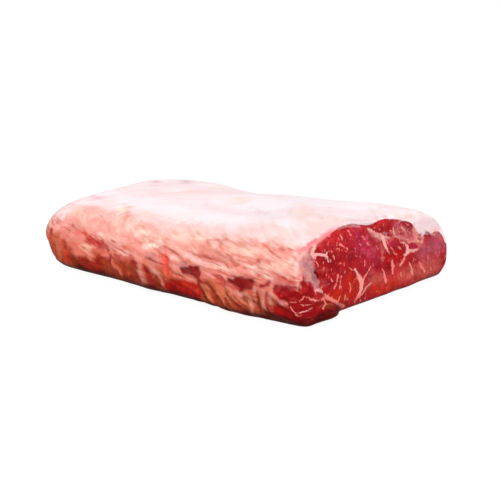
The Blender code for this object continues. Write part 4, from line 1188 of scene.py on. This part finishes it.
def skin_places(points, on_rim=False):
    """Box points brought in to the smooth loin and moved out by the relief of its surface."""
    places = carried(points, smooth_loin)
    out = away_from(places, smooth_loin)
    side_share = 1.0 - np.clip(-out[:, 2], 0.0, 1.0) ** 2
    if on_rim:
        out[:, 0] = 0.0
    relief = broad_relief(*places.T) + painted(*places.T).raised
    return places + out * (relief * side_share)[:, None]


def face_places(points):
    """Places on the flat cut, spread evenly between the points round its rim."""
    y_low, y_high = points[:, 1].min(), points[:, 1].max()
    z_low, z_high = points[:, 2].min(), points[:, 2].max()
    u = ((points[:, 1] - y_low) / (y_high - y_low))[:, None]
    v = ((points[:, 2] - z_low) / (z_high - z_low))[:, None]

    def rim(y=None, z=None):
        rim_points = points.copy()
        if y is not None:
            rim_points[:, 1] = y
        if z is not None:
            rim_points[:, 2] = z
        different, back = np.unique(rim_points, axis=0, return_inverse=True)
        return skin_places(different, on_rim=True)[back.ravel()]

    sides = (1 - u) * rim(y=y_low) + u * rim(y=y_high)
    levels = (1 - v) * rim(z=z_low) + v * rim(z=z_high)
    lower = (1 - u) * rim(y_low, z_low) + u * rim(y_high, z_low)
    upper = (1 - u) * rim(y_low, z_high) + u * rim(y_high, z_high)
    return sides + levels - (1 - v) * lower - v * upper


def grid_lines(stops, weights, cells):
    """Places of grid lines: each stretch between two stops gets its share of the cells."""
    steps = np.concatenate([[0.0], np.cumsum(weights)])
    return np.interp(np.linspace(0.0, steps[-1], cells + 1), steps, stops)


def box_lines(cells, shares):
    """Grid lines of the box along each axis, closer together where the loin shows most detail."""
    side_out = WIDTH / 2 + BOX_OUT
    stops = (
        (X_END - BOX_OUT, X_END + END_CORE, X_CUT - RIM_BAND, X_CUT),
        (-side_out, -SIDE_CORE, SIDE_CORE, side_out),
        (BOX_LOW, CORE_LOW, CORE_HIGH, BOX_HIGH),
    )
    return [grid_lines(*axis) for axis in zip(stops, shares, cells)]


def only(thing):
    """Makes the thing the one that operators act on."""
    bpy.ops.object.select_all(action="DESELECT")
    thing.select_set(True)
    bpy.context.view_layer.objects.active = thing


def places_of(mesh):
    places = np.empty(len(mesh.vertices) * 3)
    mesh.vertices.foreach_get("co", places)
    return places.reshape(-1, 3)


def move_to(mesh, places):
    mesh.vertices.foreach_set("co", np.ascontiguousarray(places, dtype=np.float32).ravel())
    mesh.update()


def cut_edges(mesh, axis, factors):
    """Cuts every edge that runs along one axis of the box into equal parts."""
    for parts in factors:
        box = bmesh.from_edit_mesh(mesh)
        for edge in box.edges:
            first, second = edge.verts
            edge.select_set(abs(first.co[axis] - second.co[axis]) > SAME_PLACE)
        bpy.ops.mesh.subdivide(number_cuts=parts - 1)


def gridded_box(name, factors, lines):
    """A box cut into cells, with its points on the grid lines."""
    bpy.ops.object.select_all(action="DESELECT")
    bpy.ops.mesh.primitive_cube_add(size=1.0, location=(0.0, 0.0, 0.0))
    thing = bpy.context.object
    thing.name = name
    bpy.ops.object.mode_set(mode="EDIT")
    bpy.ops.mesh.select_mode(type="EDGE")
    for axis in range(3):
        cut_edges(thing.data, axis, factors[axis])
    bpy.ops.object.mode_set(mode="OBJECT")
    places = places_of(thing.data)
    for axis in range(3):
        count = len(lines[axis]) - 1
        step = np.rint((places[:, axis] + 0.5) * count).astype(int)
        places[:, axis] = lines[axis][step]
    move_to(thing.data, places)
    return thing


def lay_flat(thing):
    """Gives the resting face even cells in place of the fine grid."""
    mesh = bmesh.new()
    mesh.from_mesh(thing.data)
    flat = [f for f in mesh.faces if all(abs(v.co[2]) < SAME_PLACE for v in f.verts)]
    under = bmesh.ops.dissolve_faces(mesh, faces=flat, use_verts=True)["region"]
    for axis, reach in ((0, LENGTH / 2), (1, WIDTH / 2)):
        normal = [0.0, 0.0, 0.0]
        normal[axis] = 1.0
        for line in np.arange(-reach, reach, UNDER_CELL):
            place = [0.0, 0.0, 0.0]
            place[axis] = float(line)
            corners = {v for f in under for v in f.verts} | {e for f in under for e in f.edges}
            geometry = list(corners) + under
            cut = bmesh.ops.bisect_plane(
                mesh, geom=geometry, dist=SAME_PLACE, plane_co=place, plane_no=normal
            )["geom"]
            under = [part for part in cut if isinstance(part, bmesh.types.BMFace)]
    mesh.to_mesh(thing.data)
    mesh.free()


def make_skin(name, factors, shares):
    """The whole loin as one closed skin."""
    cells = [math.prod(parts) for parts in factors]
    thing = gridded_box(name, factors, box_lines(cells, shares))
    box = places_of(thing.data)
    on_face = box[:, 0] > X_CUT - SAME_PLACE
    places = np.empty_like(box)
    places[~on_face] = skin_places(box[~on_face])
    places[on_face] = face_places(box[on_face])
    near_face = np.clip((places[:, 0] - X_CUT + FACE_REACH) / FACE_REACH, 0.0, 1.0) ** 2
    places[:, 0] += near_face * face_out(places[:, 1], places[:, 2])
    flat_cut = np.flatnonzero(on_face)
    places[flat_cut, 0] += painted(*places[flat_cut].T).raised
    places[:, 2] = np.where(places[:, 2] < FLAT_BELOW, 0.0, places[:, 2])
    move_to(thing.data, places)
    lay_flat(thing)
    return thing


def core_body(x, y, z, shrink):
    """Below zero inside the meat under the fat."""
    return plain_body(x, y, z) + fat_thickness(x, y) + shrink


def make_core(name, shrink):
    """The form that parts lean from fat: the meat under the fat, on a wide brim below its edge."""
    cells = SEAM_CELLS
    x_high = X_CUT + BOX_OUT
    side_out = WIDTH / 2 + BOX_OUT
    first_lines = (x_high - BOX_OUT - SEAM_BEHIND_CUT, x_high - BOX_OUT + SEAM_PAST_CUT, x_high)
    x_lines = np.concatenate([
        np.linspace(X_END - BOX_OUT, X_END + END_CORE, cells["end"] + 1)[:-1],
        np.linspace(X_END + END_CORE, first_lines[0], cells["length"] + 1),
        first_lines[1:],
    ])
    side = np.linspace(SIDE_CORE, side_out, cells["side"] + 1)
    y_lines = np.concatenate([
        -side[:0:-1], np.linspace(-SIDE_CORE, SIDE_CORE, cells["width"] + 1), side[1:],
    ])
    upper = np.linspace(FIRST_LEVEL, BOX_HIGH - FAT_EDGE_NEAR, cells["height"])
    z_lines = np.concatenate([[BOX_LOW, BRIM, FOOT], upper])
    lines = (x_lines, y_lines, z_lines)
    factors = [(len(line) - 1,) for line in lines]
    thing = gridded_box(name, factors, lines)
    box = places_of(thing.data)
    under_fat = box[:, 2] > (BRIM + FOOT) / 2
    edge = fat_edge_height(box[:, 0], box[:, 1]) - shrink
    rise = np.clip(1.0 - box[:, 2] / z_lines[-1], 0.0, 1.0)
    level = np.abs(box[:, 2] - BRIM) < SAME_PLACE
    box[:, 2] = np.where(under_fat, box[:, 2] + between(FAT_EDGE_NEAR, edge, rise), box[:, 2])
    places = box.copy()
    places[level, 2] = edge[level]
    places[under_fat] = carried(box[under_fat], lambda x, y, z: core_body(x, y, z, shrink))
    move_to(thing.data, places)
    only(thing)
    bpy.ops.object.mode_set(mode="EDIT")
    bpy.ops.mesh.select_all(action="SELECT")
    bpy.ops.mesh.remove_doubles(threshold=SAME_PLACE)
    bpy.ops.object.mode_set(mode="OBJECT")
    return thing


def part_with(thing, cutter, operation):
    """Keeps the part of the thing inside or outside the cutter, and drops the cutter."""
    only(thing)
    cut = thing.modifiers.new("Fat seam", "BOOLEAN")
    cut.operation = operation
    cut.solver = "MANIFOLD"
    cut.object = cutter
    bpy.ops.object.modifier_apply(modifier=cut.name)
    bpy.data.objects.remove(cutter, do_unlink=True)


def colour_in(thing):
    """Stores the look of each point as attributes that the materials read."""
    mesh = thing.data
    look = painted(*places_of(mesh).T)
    amounts = (("fat_reach", look.reach), ("folded", look.folded), ("marbled", look.marbled))
    for name, values in amounts:
        layer = mesh.attributes.new(name, "FLOAT", "POINT")
        kept = np.clip(values, -DEEPEST_REACH, DEEPEST_REACH)
        layer.data.foreach_set("value", kept.astype(np.float32))
    for name, colours in (("lean_colour", look.lean), ("fat_colour", look.fat)):
        opaque = np.ones((len(colours), 1))
        shades = np.concatenate([np.clip(colours, 0.0, 1.0), opaque], axis=1)
        layer = mesh.attributes.new(name, "FLOAT_COLOR", "POINT")
        layer.data.foreach_set("color", shades.astype(np.float32).ravel())


def finish_piece(thing, material, node):
    colour_in(thing)
    thing.data.transform(Matrix.Translation(TO_MIDDLE))
    only(thing)
    bpy.ops.object.shade_smooth_by_angle(angle=SHARP_FROM)
    thing.data.materials.clear()
    thing.data.materials.append(material)
    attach(thing, "root")
    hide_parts(node)


# ---- Materials ------------------------------------------------------------------------------


# Noise scales, in cells for each metre
EDGE_NOISE = 520.0
THREAD_NOISE = 330.0
CLOUD_NOISE = 150.0
FIBRE_NOISE = 900.0
FOLD_NOISE = 210.0
BLOTCH_NOISE = 120.0
PATCH_NOISE = 90.0
GRAIN_NOISE = 760.0
DIMPLE_NOISE = 240.0
# Stretches of the noise along the loin, across it and up it
THREAD_STRETCH = (0.18, 1.0, 0.75)
FIBRE_STRETCH = (0.10, 1.0, 0.8)
FOLD_STRETCH = (0.17, 0.17, 1.0)
GRAIN_STRETCH = (0.16, 1.0, 0.8)
FOLD_SLANT = 0.20
GROOVE_SHADE = (0.66, 0.30, 0.25, 1.0)
BLOTCH_SHADE = (0.90, 0.66, 0.60, 1.0)
CREST_LIGHT = (0.34, 0.22, 0.17, 1.0)
ROUGHNESS_CHANGE = 0.28
GLOW_REACH = (1.0, 0.35, 0.25)


def new_group(name, inputs, outputs):
    """An empty node group with its sockets, and its first and last nodes."""
    group = bpy.data.node_groups.new(name, "ShaderNodeTree")
    for socket, kind, value in inputs:
        made = group.interface.new_socket(socket, in_out="INPUT", socket_type=kind)
        if value is not None:
            made.default_value = value
    for socket, kind in outputs:
        group.interface.new_socket(socket, in_out="OUTPUT", socket_type=kind)
    return group, group.nodes.new("NodeGroupInput"), group.nodes.new("NodeGroupOutput")


def add_node(tree, kind, links=(), **settings):
    """A node with its settings, and its inputs linked or set."""
    made = tree.nodes.new(kind)
    for name, value in settings.items():
        setattr(made, name, value)
    for socket, source in dict(links).items():
        if isinstance(source, bpy.types.NodeSocket):
            tree.links.new(source, made.inputs[socket])
        else:
            made.inputs[socket].default_value = source
    return made


def maths(tree, operation, first, second=0.0, third=0.0):
    node = add_node(tree, "ShaderNodeMath", {0: first, 1: second, 2: third}, operation=operation)
    return node.outputs[0]


def smooth_step(tree, value, low, high):
    node = add_node(
        tree, "ShaderNodeMapRange", {"Value": value, "From Min": low, "From Max": high},
        interpolation_type="SMOOTHSTEP",
    )
    return node.outputs["Result"]


def noise(tree, place, scale, detail=2.0, roughness=0.5, stretch=(1.0, 1.0, 1.0)):
    spread = add_node(tree, "ShaderNodeMapping", {"Vector": place, "Scale": stretch})
    made = add_node(
        tree, "ShaderNodeTexNoise",
        {"Vector": spread.outputs[0], "Scale": scale, "Detail": detail, "Roughness": roughness},
    )
    return made.outputs["Fac"]


def mix_colour(tree, amount, first, second, blend="MIX"):
    """Mixes two colours. The mix node keeps its colour sockets after those for other kinds."""
    made = add_node(tree, "ShaderNodeMix", data_type="RGBA", blend_type=blend)
    for index, source in ((0, amount), (6, first), (7, second)):
        if isinstance(source, bpy.types.NodeSocket):
            tree.links.new(source, made.inputs[index])
        else:
            made.inputs[index].default_value = source
    return made.outputs[2]


def make_fat_edge_group():
    """Where fat shows: crisp, slightly ragged edges from the painted reach, and fine marbling."""
    group, start, end = new_group(
        "Fat in meat",
        (("Place", "NodeSocketVector", None), ("Reach", "NodeSocketFloat", 0.0),
         ("Raggedness", "NodeSocketFloat", 0.5), ("Marbling", "NodeSocketFloat", 0.5)),
        (("Fat", "NodeSocketFloat"),),
    )
    place, reach = start.outputs["Place"], start.outputs["Reach"]
    ragged = maths(group, "SUBTRACT", noise(group, place, EDGE_NOISE, 3.0, 0.6), 0.5)
    ragged = maths(group, "MULTIPLY", ragged, start.outputs["Raggedness"])
    fat = smooth_step(group, maths(group, "ADD", reach, ragged), -0.42, 0.42)
    threads = noise(group, place, THREAD_NOISE, 3.0, 0.55, THREAD_STRETCH)
    threads = smooth_step(group, threads, 0.60, 0.74)
    threads = maths(group, "MULTIPLY", threads, start.outputs["Marbling"])
    group.links.new(maths(group, "MAXIMUM", fat, threads), end.inputs["Fat"])
    return group


def make_mottle_group():
    """Uneven tone: clouds, and fibres that run along the loin."""
    group, start, end = new_group(
        "Uneven tone",
        (("Place", "NodeSocketVector", None), ("Colour", "NodeSocketColor", (1.0, 1.0, 1.0, 1.0)),
         ("Clouds", "NodeSocketFloat", 0.2), ("Fibres", "NodeSocketFloat", 0.2)),
        (("Colour", "NodeSocketColor"),),
    )
    place = start.outputs["Place"]
    clouds = noise(group, place, CLOUD_NOISE, 4.0, 0.6)
    fibres = noise(group, place, FIBRE_NOISE, 2.0, 0.6, FIBRE_STRETCH)
    shade = maths(group, "MULTIPLY", maths(group, "SUBTRACT", clouds, 0.5), start.outputs["Clouds"])
    fine = maths(group, "MULTIPLY", maths(group, "SUBTRACT", fibres, 0.5), start.outputs["Fibres"])
    shade = maths(group, "ADD", maths(group, "ADD", shade, fine), 1.0)
    colour = start.outputs["Colour"]
    scaled = add_node(
        group, "ShaderNodeVectorMath", {0: colour, "Scale": shade}, operation="SCALE"
    )
    group.links.new(scaled.outputs[0], end.inputs["Colour"])
    return group


def make_fold_group():
    """Drawn-out folds of the sides: painted shade, darker and redder, in the grooves, and painted
    highlight, paler, on the crests.
    """
    group, start, end = new_group(
        "Folded surface",
        (("Place", "NodeSocketVector", None), ("Colour", "NodeSocketColor", (1.0, 1.0, 1.0, 1.0)),
         ("Amount", "NodeSocketFloat", 0.5)),
        (("Colour", "NodeSocketColor"), ("Height", "NodeSocketFloat")),
    )
    place, amount = start.outputs["Place"], start.outputs["Amount"]
    parts = add_node(group, "ShaderNodeSeparateXYZ", {"Vector": place}).outputs
    slanting = maths(group, "MULTIPLY_ADD", parts["X"], FOLD_SLANT, parts["Z"])
    slanted = {"X": parts["X"], "Y": parts["Y"], "Z": slanting}
    slanted = add_node(group, "ShaderNodeCombineXYZ", slanted).outputs[0]
    long_folds = noise(group, slanted, FOLD_NOISE, 4.0, 0.62, FOLD_STRETCH)
    spots = noise(group, place, BLOTCH_NOISE, 3.0, 0.6)
    groove = maths(group, "MULTIPLY", smooth_step(group, long_folds, 0.48, 0.30), amount)
    crest = maths(group, "MULTIPLY", smooth_step(group, long_folds, 0.52, 0.72), amount)
    blotch = maths(group, "MULTIPLY", smooth_step(group, spots, 0.52, 0.70), amount)
    shade = mix_colour(group, groove, start.outputs["Colour"], GROOVE_SHADE, "MULTIPLY")
    shade = mix_colour(
        group, maths(group, "MULTIPLY", blotch, 0.5), shade, BLOTCH_SHADE, "MULTIPLY"
    )
    pale = mix_colour(group, maths(group, "MULTIPLY", crest, 0.5), shade, CREST_LIGHT, "SCREEN")
    group.links.new(pale, end.inputs["Colour"])
    group.links.new(maths(group, "MULTIPLY", long_folds, amount), end.inputs["Height"])
    return group


def make_surface_group():
    """The moist surface: its roughness, and the height of its grain."""
    group, start, end = new_group(
        "Moist surface",
        (("Place", "NodeSocketVector", None), ("Fat", "NodeSocketFloat", 0.0),
         ("Folds", "NodeSocketFloat", 0.0), ("Lean Roughness", "NodeSocketFloat", 0.35),
         ("Fat Roughness", "NodeSocketFloat", 0.5)),
        (("Roughness", "NodeSocketFloat"), ("Height", "NodeSocketFloat")),
    )
    place, fat = start.outputs["Place"], start.outputs["Fat"]
    patches = noise(group, place, PATCH_NOISE, 3.0, 0.6)
    base = add_node(group, "ShaderNodeMix", data_type="FLOAT")
    group.links.new(fat, base.inputs[0])
    group.links.new(start.outputs["Lean Roughness"], base.inputs[2])
    group.links.new(start.outputs["Fat Roughness"], base.inputs[3])
    patches = maths(group, "SUBTRACT", patches, 0.5)
    varied = maths(group, "MULTIPLY_ADD", patches, ROUGHNESS_CHANGE, base.outputs[0])
    group.links.new(varied, end.inputs["Roughness"])
    fibres = noise(group, place, GRAIN_NOISE, 3.0, 0.6, GRAIN_STRETCH)
    dimples = noise(group, place, DIMPLE_NOISE, 3.0, 0.55)
    height = maths(group, "MULTIPLY_ADD", fibres, 0.5, dimples)
    height = maths(group, "MULTIPLY_ADD", fat, 0.35, height)
    height = maths(group, "MULTIPLY_ADD", start.outputs["Folds"], 3.0, height)
    group.links.new(height, end.inputs["Height"])
    return group


def meat_material(name, groups, values):
    """Lean and fat together, laid out by the painted attributes."""
    material = bpy.data.materials.new(name)
    material.use_nodes = True
    tree = material.node_tree
    shader = tree.nodes["Principled BSDF"]
    place = add_node(tree, "ShaderNodeTexCoord").outputs["Object"]

    def painted_value(attribute, output="Fac"):
        return add_node(tree, "ShaderNodeAttribute", attribute_name=attribute).outputs[output]

    def use(kind, links):
        made = tree.nodes.new("ShaderNodeGroup")
        made.node_tree = groups[kind]
        for socket, source in links.items():
            if isinstance(source, bpy.types.NodeSocket):
                tree.links.new(source, made.inputs[socket])
            else:
                made.inputs[socket].default_value = source
        return made.outputs

    marbling = maths(tree, "MULTIPLY", painted_value("marbled"), values["marbling"])
    fat_here = use("edge", {
        "Place": place, "Reach": painted_value("fat_reach"),
        "Raggedness": values["raggedness"], "Marbling": marbling,
    })["Fat"]
    lean = use("mottle", {
        "Place": place, "Colour": painted_value("lean_colour", "Color"),
        "Clouds": values["lean_clouds"], "Fibres": values["lean_fibres"],
    })["Colour"]
    fat = use("mottle", {
        "Place": place, "Colour": painted_value("fat_colour", "Color"),
        "Clouds": values["fat_clouds"], "Fibres": values["fat_fibres"],
    })["Colour"]
    folds = use("folds", {
        "Place": place, "Colour": mix_colour(tree, fat_here, lean, fat),
        "Amount": painted_value("folded"),
    })
    tree.links.new(folds["Colour"], shader.inputs["Base Color"])
    surface = use("surface", {
        "Place": place, "Fat": fat_here, "Folds": folds["Height"],
        "Lean Roughness": values["lean_roughness"], "Fat Roughness": values["fat_roughness"],
    })
    tree.links.new(surface["Roughness"], shader.inputs["Roughness"])
    bump = add_node(tree, "ShaderNodeBump", {
        "Height": surface["Height"], "Distance": values["grain_height"], "Strength": 1.0,
    })
    tree.links.new(bump.outputs["Normal"], shader.inputs["Normal"])
    shader.inputs["IOR"].default_value = values["ior"]
    shader.inputs["Specular IOR Level"].default_value = values["specular"]
    shader.inputs["Subsurface Weight"].default_value = values["glow"]
    shader.inputs["Subsurface Radius"].default_value = GLOW_REACH
    shader.inputs["Subsurface Scale"].default_value = values["glow_depth"]
    return material


LEAN_VALUES = {
    "raggedness": 1.5, "marbling": 0.60, "lean_clouds": 1.4, "lean_fibres": 0.45,
    "fat_clouds": 0.24, "fat_fibres": 0.14, "lean_roughness": 0.42, "fat_roughness": 0.50,
    "grain_height": 0.00035, "ior": 1.25, "specular": 0.12, "glow": 0.06, "glow_depth": 0.002,
}
FAT_VALUES = {
    "raggedness": 1.5, "marbling": 0.40, "lean_clouds": 1.0, "lean_fibres": 0.35,
    "fat_clouds": 0.12, "fat_fibres": 0.06, "lean_roughness": 0.44, "fat_roughness": 0.55,
    "grain_height": 0.00030, "ior": 1.25, "specular": 0.12, "glow": 0.06, "glow_depth": 0.002,
}

# ---- Studio ---------------------------------------------------------------------------------

CAMERA_AIM = (0.00508, 0.01803, 0.01926)
CAMERA_AZIMUTH = math.radians(42.05)
CAMERA_ELEVATION = math.radians(14.39)
CAMERA_ROLL = math.radians(-0.434)
CAMERA_DISTANCE = 1.4886
CAMERA_LENS = 101.47
SENSOR = 36.0
FLOOR_SIZE = 16.0
SKY = 0.85
TABLE_GREY = 0.12
TABLE_GLOW = 0.92
TABLE_BOUNCE = 0.36
TABLE_ROUGHNESS = 0.9
# Softboxes: name, place, size and power
LIGHTS = (
    ("Overhead softbox", (0.25, -0.35, 1.9), 1.6, 3.0),
    ("Front softbox", (1.5, -1.3, 0.5), 1.2, 25.0),
)


def make_camera():
    a, e, r = CAMERA_AZIMUTH, CAMERA_ELEVATION, CAMERA_ROLL
    back = np.array((math.sin(a) * math.cos(e), -math.cos(a) * math.cos(e), math.sin(e)))
    level = np.array((math.cos(a), math.sin(a), 0.0))
    upright = np.cross(back, level)
    right = level * math.cos(r) + upright * math.sin(r)
    up = upright * math.cos(r) - level * math.sin(r)
    place = np.array(CAMERA_AIM) + back * CAMERA_DISTANCE
    camera = bpy.data.objects.new("Camera", bpy.data.cameras.new("Camera"))
    camera.data.lens = CAMERA_LENS
    camera.data.sensor_width = SENSOR
    rows = [[right[i], up[i], back[i], place[i]] for i in range(3)] + [[0.0, 0.0, 0.0, 1.0]]
    camera.matrix_world = Matrix(rows)
    bpy.context.scene.collection.objects.link(camera)
    bpy.context.scene.camera = camera


def make_light(name, place, size, power):
    lamp = bpy.data.lights.new(name, "AREA")
    lamp.shape = "SQUARE"
    lamp.size = size
    lamp.energy = power
    thing = bpy.data.objects.new(name, lamp)
    thing.location = place
    back = np.array(place, dtype=float)
    thing.rotation_mode = "QUATERNION"
    thing.rotation_quaternion = Vector(-back).to_track_quat("-Z", "Y")
    bpy.context.scene.collection.objects.link(thing)


def make_studio():
    bpy.ops.object.select_all(action="DESELECT")
    bpy.ops.mesh.primitive_plane_add(size=FLOOR_SIZE, location=(0.0, 0.0, 0.0))
    floor = bpy.context.object
    floor.name = "Floor"
    paper = bpy.data.materials.new("White paper")
    paper.use_nodes = True
    surface = paper.node_tree.nodes["Principled BSDF"].inputs
    surface["Base Color"].default_value = (TABLE_GREY, TABLE_GREY, TABLE_GREY, 1.0)
    surface["Roughness"].default_value = TABLE_ROUGHNESS
    surface["Specular IOR Level"].default_value = 0.0
    surface["Emission Color"].default_value = (1.0, 1.0, 1.0, 1.0)
    tree = paper.node_tree
    seen = add_node(tree, "ShaderNodeLightPath").outputs["Is Camera Ray"]
    glow = maths(tree, "MULTIPLY_ADD", seen, TABLE_GLOW - TABLE_BOUNCE, TABLE_BOUNCE)
    tree.links.new(glow, surface["Emission Strength"])
    floor.data.materials.append(paper)
    world = bpy.data.worlds.new("Pale room")
    world.use_nodes = True
    sky = world.node_tree.nodes["Background"].inputs
    sky["Color"].default_value = (1.0, 1.0, 1.0, 1.0)
    sky["Strength"].default_value = SKY
    bpy.context.scene.world = world
    for light_facts in LIGHTS:
        make_light(*light_facts)
    bpy.context.scene.view_settings.view_transform = "Standard"


def main():
    groups = {
        "edge": make_fat_edge_group(),
        "mottle": make_mottle_group(),
        "folds": make_fold_group(),
        "surface": make_surface_group(),
    }
    lean = make_skin("Lean_meat", LEAN_CELLS, LEAN_SHARES)
    part_with(lean, make_core("Core_of_meat", FAT_GAP), "INTERSECT")
    finish_piece(lean, meat_material("Raw lean meat", groups, LEAN_VALUES), "lean")

    fat = make_skin("Fat_cap", FAT_CELLS, FAT_SHARES)
    part_with(fat, make_core("Core_under_fat", 0.0), "DIFFERENCE")
    finish_piece(fat, meat_material("Beef fat", groups, FAT_VALUES), "fat_cap")

    make_studio()
    make_camera()


main()
